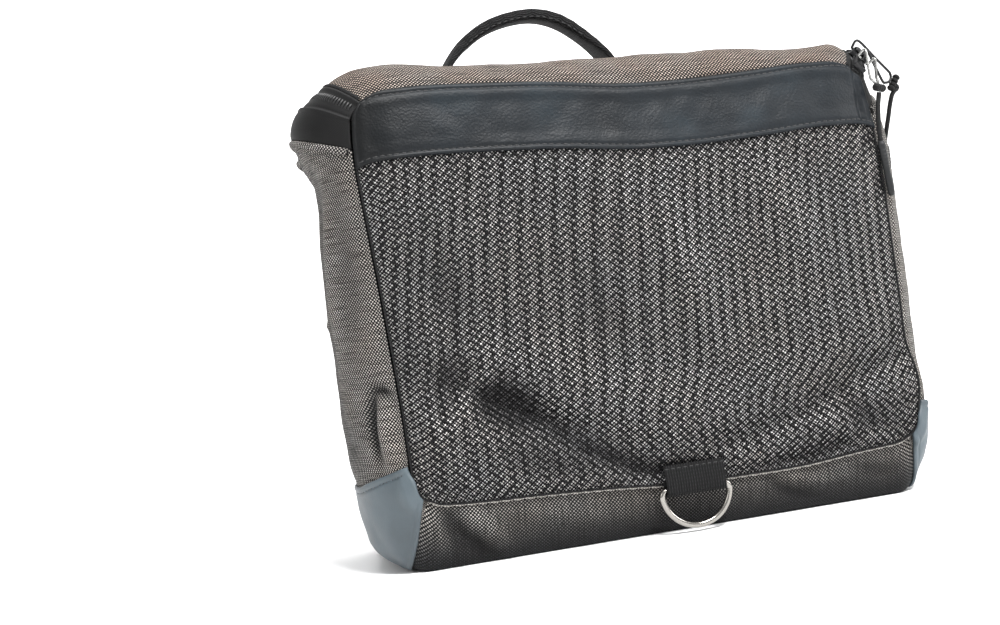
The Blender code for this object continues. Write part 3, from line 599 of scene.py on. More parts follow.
def melange_cloth(name, shade, light, bright_yarn, warmth, dark="#060607", painted_bottom_shade=0.0, thin=0.14,
                  full=0.52):
    """Woven melange polyester: black warp and off-white weft in a plain weave, so each
    yarn shows as a small square and the whole reads as a fine checker. The real cloth
    has 0.9 mm squares, drawn at that size."""
    made, tree, skin = start_finish(name, Roughness=0.86, Specular_IOR_Level=0.25)
    where = thread_place(tree)
    wander = add(tree, "TexNoise", [("Vector", where), ("Scale", 420.0), ("Detail", 1.0)])
    shift = wander.outputs["Color"]
    for operation, value in (("SUBTRACT", (0.5, 0.5, 0.5)), ("MULTIPLY", (0.00045, 0.00045, 0.0)),
                             ("ADD", where)):
        shift = add(tree, "VectorMath", [(0, shift), (1, value)], operation=operation).outputs[0]
    where = shift
    run, deep, _ = parts(tree, where)
    weave = sums(tree, "MULTIPLY", wave(tree, run, 2.0 * YARN), wave(tree, deep, 2.0 * YARN))
    white = between(tree, weave, thin, full, interpolation_type="SMOOTHSTEP")
    weft = add(tree, "Mapping", [("Vector", where), ("Scale", (60.0, 1100.0, 1.0))]).outputs[0]
    warp = add(tree, "Mapping", [("Vector", where), ("Scale", (1100.0, 60.0, 1.0))]).outputs[0]
    weft_tones = ((0.27, shade), (0.42, light), (0.72, bright_yarn))
    warp_tones = ((0.36, "#030303"), (0.62, dark), (0.80, "#1a1a1a"))
    light_yarn = ramp(tree, grain(tree, weft, 1.0, 1.0), weft_tones)
    dark_yarn = ramp(tree, grain(tree, warp, 1.0, 1.0), warp_tones)
    cloud = grain(tree, where, 26.0, 2.0)
    light_yarn = tinted(tree, light_yarn, ramp(tree, cloud, ((0.34, "#f3f3f3"), (0.66, warmth))))
    # Painted shade and painted light: the light yarn is darkened where the shading value is low, in dents
    # and broad shaded zones, and lightened where it is high, on ridges.
    shading_share = add(tree, "Attribute", attribute_name="painted_shading").outputs["Fac"]
    shading_share = sums(tree, "MULTIPLY_ADD", shading_share, 0.5, 0.5)
    shading_tint = ramp(tree, shading_share, ((0.0, "#6a6a6c"), (0.5, "#ebebeb"), (1.0, "#ffffff")))
    light_yarn = tinted(tree, light_yarn, shading_tint)
    # Painted shade: the light yarn is darkened with a blue-grey tint towards the floor, over the lowest 3
    # cm, by the given share.
    if painted_bottom_shade:
        height = parts(tree, solid_place(tree))[2]
        height = between(tree, height, 0.001, 0.030, interpolation_type="SMOOTHSTEP")
        bottom_shade_tint = ramp(tree, height, ((0.0, "#4c4f56"), (1.0, "#ffffff")))
        light_yarn = tinted(tree, light_yarn, bottom_shade_tint, painted_bottom_shade)
    links = [("Factor", white), (6, dark_yarn), (7, light_yarn)]
    colour = add(tree, "Mix", links, data_type="RGBA").outputs[2]
    dome = sums(tree, "SQRT", sums(tree, "ABSOLUTE", weave))
    return coat(made, skin, colour, dome, 0.55, 0.0003)


def net_yarn():
    """Warp-knitted polyester net, dyed black: soft sheen on round, slightly hairy strands."""
    made, tree, skin = start_finish("knitted_net", Roughness=0.75, Specular_IOR_Level=0.25)
    fibre = grain(tree, solid_place(tree), 2600.0, 2.0)
    tone = ramp(tree, fibre, ((0.35, "#030304"), (0.7, "#101012")))
    return coat(made, skin, tone, fibre, 0.4, 0.0002)


def coated_leather():
    """Bonded leather with a polyurethane face: fine pebbled grain, blue-black, satin. Its
    left end, in the shade of the lid, is darker."""
    made, tree, skin = start_finish("coated_leather", Roughness=0.5, IOR=1.48, Specular_IOR_Level=0.24)
    where = solid_place(tree)
    pebble = add(tree, "TexVoronoi", [("Vector", where), ("Scale", 950.0)], feature="SMOOTH_F1")
    pores = grain(tree, where, 1900.0, 3.0)
    cloud = grain(tree, where, 34.0, 3.0)
    height = sums(tree, "MULTIPLY_ADD", pores, 0.5, pebble.outputs[0])
    tone = ramp(tree, cloud, ((0.30, "#0a0e12"), (0.55, "#0f151a"), (0.78, "#162026")))
    tone = tinted(tree, tone, ramp(tree, height, ((0.35, "#c8ccd0"), (0.9, "#ffffff"))), 0.6)
    across = parts(tree, where)[0]
    left = between(tree, across, -0.130, -0.098, interpolation_type="SMOOTHSTEP")
    tone = tinted(tree, tone, ramp(tree, left, ((0.0, "#767676"), (1.0, "#ffffff"))))
    return coat(made, skin, tone, height, 0.35, 0.0004, spread(tree, cloud, 0.42, 0.56))


def coated_patch():
    """Tarpaulin cloth with a smooth vinyl face, slate blue, with a faint weave under it."""
    made, tree, skin = start_finish("coated_patch_cloth", Roughness=0.48, IOR=1.5)
    where = solid_place(tree)
    cloud = grain(tree, where, 45.0, 4.0)
    tone = ramp(tree, cloud, ((0.28, "#353d42"), (0.52, "#404a50"), (0.8, "#4e595f")))
    height = sums(tree, "MULTIPLY_ADD", cloud, 3.0, grain(tree, where, 1500.0, 2.0))
    return coat(made, skin, tone, height, 0.25, 0.0004, spread(tree, cloud, 0.40, 0.58))


def zip_tape_cloth():
    """Woven zip tape with a thin rubbery face: nearly black, smooth, fine herringbone."""
    made, tree, skin = start_finish("zip_tape_cloth", Roughness=0.6, Specular_IOR_Level=0.25)
    where = thread_place(tree)
    run, deep, _ = parts(tree, where)
    slant = sums(tree, "ADD", run, sums(tree, "PINGPONG", deep, 0.003))
    tone = ramp(tree, grain(tree, where, 60.0, 3.0), ((0.3, "#020202"), (0.75, "#070708")))
    return coat(made, skin, tone, wave(tree, slant, 0.0011), 0.12, 0.0002)


def ribbed_webbing():
    """Woven polypropylene webbing: black, with ribs 1.3 mm apart across its width."""
    made, tree, skin = start_finish("ribbed_webbing", Roughness=0.75, Specular_IOR_Level=0.2)
    run, deep, _ = parts(tree, thread_place(tree))
    ribs = wave(tree, deep, 0.0013)
    height = sums(tree, "MULTIPLY_ADD", sums(tree, "MULTIPLY", wave(tree, run, 0.0017), ribs), 0.6, ribs)
    level = between(tree, height, -1.4, 1.4)
    tone = ramp(tree, level, ((0.1, "#020202"), (0.6, "#0b0b0c"), (1.0, "#1d1d1e")))
    return coat(made, skin, tone, level, 0.8, 0.0006)


def braided_cord():
    """Braided polyester cord, black: strands cross in a fine diamond 1.2 mm long."""
    made, tree, skin = start_finish("braided_cord", Roughness=0.7, Specular_IOR_Level=0.25)
    run, deep, _ = parts(tree, thread_place(tree))
    waves = [wave(tree, sums(tree, way, run, deep), 0.0012) for way in ("ADD", "SUBTRACT")]
    level = between(tree, sums(tree, "MULTIPLY", *waves), -1.0, 1.0)
    tone = ramp(tree, level, ((0.0, "#030303"), (1.0, "#161617")))
    return coat(made, skin, tone, level, 0.7, 0.0003)


def plain_metal(name, code, roughness, metallic=1.0, wear="#8a8a88", wear_share=0.0):
    """Cast or drawn metal with fine handling marks in its gloss."""
    made, tree, skin = start_finish(name, Metallic=metallic)
    marks = grain(tree, solid_place(tree), 700.0, 4.0)
    gloss = spread(tree, marks, roughness * 0.7, roughness * 1.4)
    tone = ramp(tree, marks, ((0.3, code), (0.99 - wear_share, code), (1.0, wear)))
    return coat(made, skin, tone, marks, 0.06, 0.0002, gloss)


def grip_rubber():
    """Moulded soft PVC: dark grey, satin, with a fine spark-eroded texture."""
    made, tree, skin = start_finish("moulded_grip_rubber", Roughness=0.5, Specular_IOR_Level=0.35)
    texture = grain(tree, solid_place(tree), 2400.0, 2.0)
    tone = ramp(tree, texture, ((0.3, "#0c0d0e"), (0.8, "#17191b")))
    return coat(made, skin, tone, texture, 0.2, 0.0002)


def thread_finish(name, code):
    """Bonded nylon sewing thread with a twist 0.6 mm long."""
    made, tree, skin = start_finish(name, Roughness=0.55, Sheen_Weight=0.1)
    links = [("Vector", solid_place(tree)), ("Scale", 260.0), ("Distortion", 2.0)]
    twist = add(tree, "TexWave", links).outputs["Fac"]
    return coat(made, skin, ramp(tree, twist, ((0.0, "#0a0a0b"), (1.0, code))))


def ribbed_tape(name, dark, light):
    """Narrow woven edging: yarns 0.7 mm apart that twist round the edge."""
    made, tree, skin = start_finish(name, Roughness=0.8, Specular_IOR_Level=0.25)
    run, deep, _ = parts(tree, thread_place(tree))
    level = between(tree, wave(tree, sums(tree, "ADD", run, deep), 0.0014), -1.0, 1.0)
    return coat(made, skin, ramp(tree, level, ((0.2, dark), (0.8, light))), level, 0.7, 0.0003)


PLAIN_YARNS = ("#75726f", "#b4b1ad", "#dad7d3", "#f5efe9")
CLOTH = melange_cloth("melange_weave", *PLAIN_YARNS, painted_bottom_shade=1.0)
FRONT_CLOTH = melange_cloth("melange_weave_under_net", "#cfcdca", "#ffffff", "#ffffff", "#faf6f2",
                            painted_bottom_shade=0.3, thin=0.03, full=0.36)
# The lid gets its own copy of the melange, warmer and darker in its light yarns than the side cloth; its
# tones are set for the lid as lit from above, so the difference is painted light and shade.
LID_CLOTH = melange_cloth("melange_weave_lid_lit_copy", "#6c6661", "#a49a92", "#cbc2b9", "#f2e5dd", "#0a0909")
BACK_CLOTH = melange_cloth("melange_weave_plain", *PLAIN_YARNS, painted_bottom_shade=0.3)
NET = net_yarn()
LEATHER = coated_leather()
PATCH = coated_patch()
TAPE = zip_tape_cloth()
WEBBING = ribbed_webbing()
CORD = braided_cord()
RUBBER = grip_rubber()
THREAD = thread_finish("black_sewing_thread", "#1d1d1f")
BINDING = ribbed_tape("black_binding_tape", "#050506", "#171718")
HEM = ribbed_tape("melange_hem_cord", "#3a3a3a", "#b5b1aa")
COIL = plain_metal("black_nylon_coil", "#0d0d0e", 0.4, 0.0, "#2a2a2c", 0.05)
PATCH_THREAD = thread_finish("slate_sewing_thread", "#4a565e")
NICKEL = plain_metal("nickel_plated_steel", "#989590", 0.22)
BLACK_METAL = plain_metal("black_lacquered_zinc", "#141416", 0.34, 0.4, "#77777a", 0.14)
BRIGHT_WIRE = plain_metal("bright_steel_wire", "#9a9a98", 0.26)


def settle(piece, nodes=(), body="bag"):
    """Hides the solids that a piece stands for and hangs the piece on what it rides on."""
    if nodes:
        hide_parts(*nodes)
    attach(piece, body)


# The front: cloth, net and leather band share one surface

FRONT_FOLDS = (
    # from x and z to x and z, bow, reach, height, all in metres
    (-0.080, 0.103, -0.117, 0.057, 0.004, 0.0060, 0.0030),
    (-0.100, 0.100, -0.104, 0.060, -0.004, 0.0070, -0.0024),
    (-0.123, 0.066, -0.096, 0.036, 0.002, 0.0034, 0.0011),
    (-0.120, 0.052, -0.088, 0.030, 0.002, 0.0030, 0.0009),
    (-0.124, 0.080, -0.106, 0.050, 0.002, 0.0030, 0.0009),
    (-0.105, 0.147, -0.100, 0.096, 0.003, 0.0110, -0.0036),
    (-0.102, 0.087, -0.058, 0.066, -0.004, 0.0105, -0.0048),
    (-0.070, 0.072, -0.040, 0.050, -0.003, 0.0070, -0.0022),
    (-0.078, 0.090, -0.040, 0.062, -0.003, 0.0085, 0.0026),
    (-0.040, 0.046, 0.024, 0.026, -0.005, 0.0055, -0.0033),
    (-0.030, 0.058, 0.030, 0.042, -0.005, 0.0080, 0.0024),
    (0.030, 0.024, 0.100, 0.034, -0.004, 0.0050, -0.0024),
    (0.040, 0.040, 0.104, 0.048, -0.004, 0.0080, 0.0024),
    (-0.018, 0.180, 0.015, 0.095, 0.004, 0.0100, 0.0021),
    (0.011, 0.172, 0.029, 0.088, -0.004, 0.0090, 0.0021),
    (-0.002, 0.160, 0.014, 0.080, 0.000, 0.0070, -0.0014),
    (0.060, 0.170, 0.082, 0.100, 0.005, 0.0120, 0.0024),
    (0.084, 0.060, 0.118, 0.034, -0.004, 0.0060, -0.0018),
    (0.070, 0.048, 0.112, 0.028, -0.003, 0.0050, 0.0015),
    (-0.060, 0.060, -0.020, 0.040, -0.004, 0.0050, -0.0015),
    (-0.095, 0.042, -0.030, 0.030, -0.004, 0.0060, 0.0014),
    (0.018, 0.032, 0.058, 0.036, -0.003, 0.0050, 0.0015),
)
# Broad zones of the front where shade and light are painted into the cloth
FRONT_PAINTED_SHADES = (
    # from x and z to x and z, bow, reach, painted tone from -1 (shade) to 1 (light)
    (-0.112, 0.150, -0.117, 0.070, 0.000, 0.0180, -0.25),
    (-0.105, 0.146, -0.101, 0.086, 0.003, 0.0130, 0.45),
    (-0.112, 0.050, 0.010, 0.030, 0.000, 0.0150, -0.45),
    (0.020, 0.036, 0.110, 0.040, 0.000, 0.0120, -0.25),
    (0.000, 0.150, 0.050, 0.080, 0.000, 0.0350, 0.55),
    (-0.106, 0.060, -0.080, 0.036, 0.002, 0.0060, 0.55),
    (-0.040, 0.090, 0.010, 0.055, 0.000, 0.0140, 0.50),
    (-0.090, 0.081, -0.058, 0.068, 0.000, 0.0130, -0.80),
    (0.050, 0.040, 0.110, 0.046, 0.000, 0.0100, -0.50),
    (-0.030, 0.130, -0.026, 0.085, 0.000, 0.0130, -0.40),
)


def front_cloth(a, b):
    """The front with its small folds, and nothing moved at its seams."""
    made = front_point(a, b)
    x = made[..., 0]
    z = made[..., 2]
    away = np.minimum(1.0 - np.abs(a), 1.0 - np.abs(b))
    hold = smooth(away / 0.08)
    uneven = 0.00055 * cloth_noise(made * (1.0, 0.0, 1.0), 0.022, 3.7)
    uneven += 0.00030 * cloth_noise(made * (1.0, 0.0, 1.0), 0.009, 8.1)
    made[..., 1] -= hold * (folds(x, z, FRONT_FOLDS) + uneven)
    return made


# The front's cloth ends this share of the half height below the front's top
FRONT_TOP_IN = 0.03


def make_front():
    across = np.linspace(-1.0 + TRIM, 1.0 - TRIM, 221)
    a, b = grid(across, np.linspace(-1.0 + TRIM, 1.0 - FRONT_TOP_IN, 171))
    outer = front_cloth(a, b)
    out = normals(outer, 1.0)
    x = outer[..., 0]
    z = outer[..., 2]
    # The shading value for the finish: painted shade in the dents and painted light on the ridges of the
    # folds, and the broad zones of painted shade and light.
    painted_shading = np.clip(folds(x, z, FRONT_FOLDS) / 0.0055 + folds(x, z, FRONT_PAINTED_SHADES), -1.0, 1.0)
    inner = outer - out * CLOTH_WALL
    piece = shell("front_cloth", outer, inner, 1.0, outer[..., [0, 2]], FRONT_CLOTH, painted_shading)
    settle(piece, ["front_panel"])


# The net: rounded diamond cells between knotted strands

NET_ACROSS = 0.0048
NET_UP = 0.0037
NET_STRAND_HIGH = 0.0009
NET_HOLE_DIAGONAL = 0.485
NET_HOLE_CORNER = 0.80
NET_LOW = -1.0 + 0.012
NET_HIGH = BAND_LOW + 0.022
NET_INSET = 0.007
NET_HALF_WIDTH = 0.128
NET_HEIGHT = 0.165
BINDING_LIFT = 0.0009
BINDING_WIDTH = 0.0011
BINDING_THICK = 0.0010
ROLLED_EDGE = 0.00055
ROLLED_SWAY = 0.00018


def make_net():
    """Each cell is an eight-sided frame; neighbours share the ridge of the strand."""
    columns = int(round(2.0 * NET_HALF_WIDTH / NET_ACROSS))
    rows = int(round(NET_HEIGHT / NET_UP))
    half_b = (NET_HIGH - NET_LOW) / (2.0 * rows)
    ridge_steps = ((1, 0), (0.5, 0.5), (0, 1), (-0.5, 0.5), (-1, 0), (-0.5, -0.5), (0, -1), (0.5, -0.5))
    hole_steps = []
    for k in range(8):
        reach = NET_HOLE_DIAGONAL if k % 2 else NET_HOLE_CORNER
        turn = k * math.pi / 4.0
        hole_steps.append((reach * math.cos(turn), reach * math.sin(turn)))
    index = {}
    spots = []
    faces = []
    walls = {}

    def corner(x, y, layer):
        key = (round(x * 4), round(y * 4), layer)
        if key not in index:
            index[key] = len(spots)
            spots.append((x, y, layer))
        return index[key]

    for i in range(1, 2 * columns):
        for j in range(1, 2 * rows):
            if (i + j) % 2 == 0:
                continue
            ridge = [corner(i + x, j + y, 0) for x, y in ridge_steps]
            under = [corner(i + x, j + y, 1) for x, y in ridge_steps]
            hole = list(range(len(spots), len(spots) + 8))
            spots.extend((i + x, j + y, 2) for x, y in hole_steps)
            for k in range(8):
                n = (k + 1) % 8
                faces.append((ridge[k], ridge[n], hole[n], hole[k]))
                faces.append((hole[k], hole[n], under[n], under[k]))
                if (ridge[n], ridge[k]) in walls:
                    del walls[(ridge[n], ridge[k])]
                else:
                    walls[(ridge[k], ridge[n])] = (ridge[n], ridge[k], under[k], under[n])
    faces.extend(walls.values())
    spots = np.array(spots)
    a = (spots[:, 0] / (2 * columns) * 2.0 - 1.0) * (1.0 - NET_INSET)
    b = NET_LOW + spots[:, 1] * half_b
    points, out = read_front(a, b)
    lift = np.array([LAYER_GAP + NET_STRAND_HIGH, LAYER_GAP * 0.4, LAYER_GAP + NET_STRAND_HIGH * 0.42])
    points = points + out * lift[spots[:, 2].astype(int)][:, None]
    settle(dress("front_net", points, faces, NET), ["net_panel"])


def front_cache():
    a, b = grid(np.linspace(-1.0, 1.0, 401), np.linspace(-1.0, 1.0, 401))
    base = front_cloth(a, b)
    return base, normals(base, 1.0)


FRONT_BASE, FRONT_OUT = front_cache()


def read_front(a, b):
    """The front's points and its way out at any shares, read from a fine grid."""
    u = (np.clip(a, -1.0, 1.0) + 1.0) * 200.0
    v = (np.clip(b, -1.0, 1.0) + 1.0) * 200.0
    i = np.clip(u.astype(int), 0, 399)
    j = np.clip(v.astype(int), 0, 399)
    s = (u - i)[..., None]
    t = (v - j)[..., None]
    made = []
    for values in (FRONT_BASE, FRONT_OUT):
        near = mix(values[i, j], values[i + 1, j], s)
        far = mix(values[i, j + 1], values[i + 1, j + 1], s)
        made.append(mix(near, far, t))
    return made


def even_path(points, step, *others):
    """Reads a path, and values that go with it, again at even steps."""
    points = np.asarray(points, float)
    along = run_along(points)
    count = max(2, int(round(along[-1] / step)) + 1)
    at = np.linspace(0.0, along[-1], count)
    made = []
    for values in (points,) + others:
        made.append(np.stack([np.interp(at, along, values[:, k]) for k in range(3)], 1))
    return made


# Rows of stitches: the pitch, the length of one stitch and the radius of its thread
STITCHES = {
    "band": (0.0033, 0.0026, 0.00036),
    "top_hem": (0.0032, 0.0024, 0.00030),
    "patch": (0.0032, 0.0024, 0.00032),
    "grip": (0.0036, 0.0028, 0.00038),
    "handle_foot": (0.0034, 0.0026, 0.00036),
    "ring_loop": (0.0030, 0.0024, 0.00034),
    "bar_strap": (0.0030, 0.0024, 0.00036),
}
# One stitch: the place along it, the share of its radius, and how high it lies
STITCH_RINGS = ((-0.5, 0.45, -0.8), (-0.38, 0.9, 0.0), (0.0, 1.0, 0.25), (0.38, 0.9, 0.0),
                (0.5, 0.45, -0.8))
STITCH_SIDES = 6


def stitches(name, points, outs, pitch, length, radius, finish, sunk=0.35, turned=False):
    """A row of sewn stitches: each is a short thread that dips into the cloth at both ends."""
    place, out = even_path(points, pitch, outs)
    out = unit(out)
    way = np.gradient(place, axis=0)
    way = unit(way - out * np.sum(way * out, 1, keepdims=True))
    side = np.cross(out, way)
    if turned:
        way, side = side, -way
    sides = STITCH_SIDES
    block = []
    for along, share, high in STITCH_RINGS:
        for k in range(sides):
            turn = 2.0 * math.pi * k / sides
            block.append((along * length, share * radius * math.cos(turn),
                          share * radius * math.sin(turn) + radius * (high - sunk)))
    block = np.array(block)
    points = place[:, None] + way[:, None] * block[None, :, :1] + side[:, None] * block[None, :, 1:2]
    points = points + out[:, None] * block[None, :, 2:]
    count = len(block)
    face = []
    for i in range(0, count - sides, sides):
        for k in range(sides):
            n = (k + 1) % sides
            face.append((i + k, i + n, i + sides + n, i + sides + k))
    cap = [tuple(range(sides))[::-1], tuple(range(count - sides, count))]
    faces = []
    for n in range(len(place)):
        faces.extend(tuple(v + n * count for v in f) for f in face + cap)
    piece = dress(name, points, faces, finish)
    turn_out(piece)
    return piece


def sew(kind, end, points, outs, finish=THREAD):
    """A row of one of the kinds of stitches, as a piece of its own."""
    piece = stitches(kind + "_stitches" + end, points, outs, *STITCHES[kind], finish)
    settle(piece)


def turn_out(piece):
    """Points all faces of a closed mesh outwards."""
    made = bmesh.new()
    made.from_mesh(piece.data)
    bmesh.ops.recalc_face_normals(made, faces=made.faces)
    made.to_mesh(piece.data)
    made.free()


def front_border(inset, low, steps=90):
    """Shares along the left side, the bottom and the right side of the front."""
    far = 1.0 - inset
    up = np.linspace(low, -far, steps)
    along = np.linspace(-far, far, 2 * steps)
    a = np.concatenate((np.full(steps, -far), along[1:-1], np.full(steps, far)))
    b = np.concatenate((up, np.full(2 * steps - 2, -far), up[::-1]))
    return a, b


def make_net_hem():
    """The black tape that binds the net's edge, and the rolled cloth edge under it."""
    points, out = read_front(*front_border(NET_INSET, BAND_LOW + 0.02))
    points, out = even_path(points + out * BINDING_LIFT, PIPING_STEP, out)
    side = np.cross(out, np.gradient(points, axis=0))
    section = webbing_section(BINDING_WIDTH, BINDING_THICK, 4)
    settle(sweep("net_binding", points, section, side, BINDING))
    far = 1.0 - 0.004
    across = np.linspace(-0.985, 0.985, 240)
    points, out = read_front(across, np.full(240, -far))
    points = points + out * 0.0006
    points[:, 2] -= 0.0004
    points, out = even_path(points, 0.0008, out)
    turn = np.arange(len(points)) * 0.9
    points[:, 2] += ROLLED_SWAY * np.sin(turn)
    points[:, 1] += ROLLED_SWAY * np.cos(turn)
    settle(sweep("bottom_hem", points, round_section(ROLLED_EDGE, 8), out, HEM))


# The leather band

BAND_THICK = 0.0016
BAND_STITCH_IN = 0.0022
BAND_TURN_X = 0.1175


def line_at(points, outs, values, target):
    """Where each row of a grid passes a value: the point and the way out there."""
    place = []
    ways = []
    for i in range(len(points)):
        order = np.argsort(values[i])
        row = values[i][order]
        place.append([np.interp(target, row, points[i][order, k]) for k in range(3)])
        ways.append([np.interp(target, row, outs[i][order, k]) for k in range(3)])
    return np.array(place), np.array(ways)


def make_band():
    across = np.linspace(-1.0 + TRIM, 1.0 - TRIM, 341)
    a, b = grid(across, np.linspace(BAND_LOW, 1.0 - TRIM, 71))
    base, out = read_front(a, b)
    x = base[..., 0]
    z = base[..., 2]
    from_low = z - z[:, :1]
    from_top = z[:, -1:] - z
    from_side = np.minimum(x - x[:1], x[-1:] - x)
    edge = np.minimum(np.minimum(from_low, from_top), from_side)
    # A rounded cut edge, a groove under the stitches, a swell behind them, a lifted low edge
    lift = BAND_THICK - 0.0007 * (1.0 - smooth(edge / 0.0010))
    lift = lift - 0.00055 * bell(edge - BAND_STITCH_IN, 0.0007) + 0.0004 * bell(edge - 0.0050, 0.0026)
    lift = lift + 0.0008 * (1.0 - smooth(from_low / 0.006))
    # Broad waves and small ripples, and a crease near the right end
    wave = cloth_noise(base * (0.35, 0.0, 1.0), 0.020, 21.3)
    ripple = cloth_noise(base * (1.0, 0.0, 0.5), 0.011, 5.2)
    lift = lift + (0.0007 * wave + 0.0003 * ripple) * smooth(edge / 0.006)
    lift = lift - 0.0013 * bell(x - BAND_TURN_X, 0.0016) * smooth(from_low / 0.003)
    outer = base + out * (LAYER_GAP + lift[..., None])
    under = LAYER_GAP + 0.0008 * (1.0 - smooth(from_low / 0.006))
    inner = base + out * under[..., None]
    piece = shell("leather_band_piece", outer, inner, 1.0, base[..., [0, 2]], LEATHER)
    settle(piece, ["leather_band"])
    ways = normals(outer, 1.0)
    for name, values in (("low", from_low), ("top", from_top)):
        points, outs = line_at(outer[4:-4], ways[4:-4], values[4:-4], BAND_STITCH_IN)
        sew("band", "_" + name, points, outs)


make_front()
make_net()
make_net_hem()
make_band()


# The gusset, the lid and the back

SIDE_FOLDS = (
    # distance from the front seam and height, twice, then bow, reach and height
    (0.001, 0.082, 0.013, 0.087, 0.001, 0.0026, -0.0034),
    (0.013, 0.087, 0.020, 0.054, 0.003, 0.0030, -0.0040),
    (0.009, 0.079, 0.011, 0.052, 0.001, 0.0058, 0.0032),
    (0.026, 0.190, 0.034, 0.098, 0.002, 0.0070, 0.0013),
    (0.036, 0.186, 0.046, 0.100, 0.003, 0.0060, -0.0016),
    (0.014, 0.176, 0.022, 0.104, -0.003, 0.0080, -0.0010),
    (0.052, 0.120, 0.040, 0.050, 0.004, 0.0080, -0.0012),
    (0.034, 0.124, 0.070, 0.116, 0.000, 0.0014, 0.0009),
    (0.072, 0.170, 0.080, 0.090, 0.004, 0.0080, 0.0012),
    (0.090, 0.150, 0.084, 0.060, -0.004, 0.0090, -0.0013),
)
RIGHT_FOLDS = (
    # the same, for the right side
    (0.016, 0.180, 0.020, 0.110, 0.004, 0.0070, -0.0012),
    (0.024, 0.130, 0.014, 0.062, 0.003, 0.0060, 0.0013),
    (0.040, 0.170, 0.052, 0.090, -0.004, 0.0080, -0.0014),
    (0.066, 0.140, 0.060, 0.060, 0.004, 0.0090, 0.0013),
    (0.086, 0.170, 0.092, 0.080, 0.004, 0.0080, -0.0012),
)
UNDER_FOLDS = (
    # place across and distance from the front seam, twice, then bow, reach and height
    (-0.118, 0.002, -0.113, 0.026, 0.001, 0.0022, 0.0010),
    (-0.110, 0.001, -0.106, 0.024, 0.001, 0.0020, -0.0010),
    (-0.102, 0.001, -0.100, 0.022, 0.001, 0.0022, 0.0009),
    (-0.093, 0.001, -0.092, 0.018, 0.001, 0.0020, -0.0008),
    (-0.070, 0.006, -0.020, 0.012, 0.002, 0.0040, 0.0009),
    (-0.113, 0.005, -0.094, 0.024, 0.001, 0.0042, -0.0030),
    (-0.098, 0.004, -0.084, 0.022, 0.001, 0.0044, 0.0028),
    (0.046, 0.002, 0.074, 0.016, 0.003, 0.0030, -0.0014),
    (0.054, 0.001, 0.088, 0.010, 0.002, 0.0026, 0.0013),
    (0.090, 0.004, 0.118, 0.012, 0.002, 0.0034, -0.0010),
)
HEM_IN = 0.0030


def gusset_grid(rows, columns):
    """The gusset with its folds, its way out, and how its threads run, in metres."""
    s, v = grid(np.linspace(0.0, 3.0, rows), np.linspace(0.004, 0.994, columns))
    made = gusset_point(s, v)
    out = normals(made, -1.0)
    deep = lengths(made, 1)
    deep = deep - deep[:, :1]
    x = made[..., 0]
    z = made[..., 2]
    hold = smooth(v / 0.07) * smooth((1.0 - v) / 0.10)
    uneven = 0.0009 * cloth_noise(made, 0.030, 11.0) + 0.0004 * cloth_noise(made, 0.011, 31.0)
    left = folds(deep, z, SIDE_FOLDS) * smooth((1.0 - s) / 0.1)
    right = folds(deep, z, RIGHT_FOLDS) * smooth((s - 2.0) / 0.1)
    middle = smooth((s - 1.0) / 0.04) * smooth((2.0 - s) / 0.04)
    under = folds(x, deep, UNDER_FOLDS) * middle
    total = hold * (uneven + left + right) * smooth(z / 0.006)
    total = total + under * smooth(v / 0.02)
    pinch = -0.0007 * bell(deep - HEM_IN, 0.0012) * smooth(z / 0.004)
    made = made + out * (total + pinch)[..., None]
    made[..., 2] = np.maximum(made[..., 2], 0.0)
    run = np.where((s >= 1.0) & (s <= 2.0), x, z)
    # The shading value for the finish: painted shade in dents and painted light on ridges, painted shade
    # over the strip under the bag, and a little painted shade all over.
    painted_shading = np.clip((left + right) * hold / 0.0030 + under / 0.0024 - 0.35 * middle - 0.15, -1.0, 1.0)
    return made, normals(made, -1.0), np.stack((deep, run), 2), painted_shading


def make_gusset():
    outer, out, threads, painted_shading = gusset_grid(401, 121)
    piece = shell("gusset_cloth", outer, outer - out * CLOTH_WALL, -1.0, threads, CLOTH, painted_shading)
    settle(piece, ["gusset"])
    for name, row, sewn in (("left", 1, 3), ("right", -2, -3)):
        points = outer[row, 2:-2] + out[row, 2:-2] * 0.0003
        points, ways = even_path(points, HEM_STEP, out[row, 2:-2])
        side = np.cross(ways, np.gradient(points, axis=0))
        piece = sweep("top_hem_" + name, points, webbing_section(HEM_WIDTH, HEM_THICK, 5), side, CLOTH)
        settle(piece)
        points, ways = even_path(outer[row + sewn, 3:-3], HEM_STEP, out[row + sewn, 3:-3])
        sew("top_hem", "_" + name, points, ways)


PATCH_TOP = -0.69
PATCH_STITCH_IN = 0.0030
# How far the patch's top edge falls, and how far its lower edge runs under the bag, as
# shares of the side, both by the depth from the front seam
PATCH_DEPTHS = (0.008, 0.03, 0.06, 0.10, 0.15, 0.20, 0.25, 0.36, 0.80)
PATCH_DROPS = (0.076, 0.063, 0.047, 0.030, 0.013, 0.002, -0.004, -0.004, 0.0)
PATCH_ENDS = (-0.004, -0.0005, 0.003, 0.006, 0.009, 0.0105, 0.012, 0.0145, 0.02)


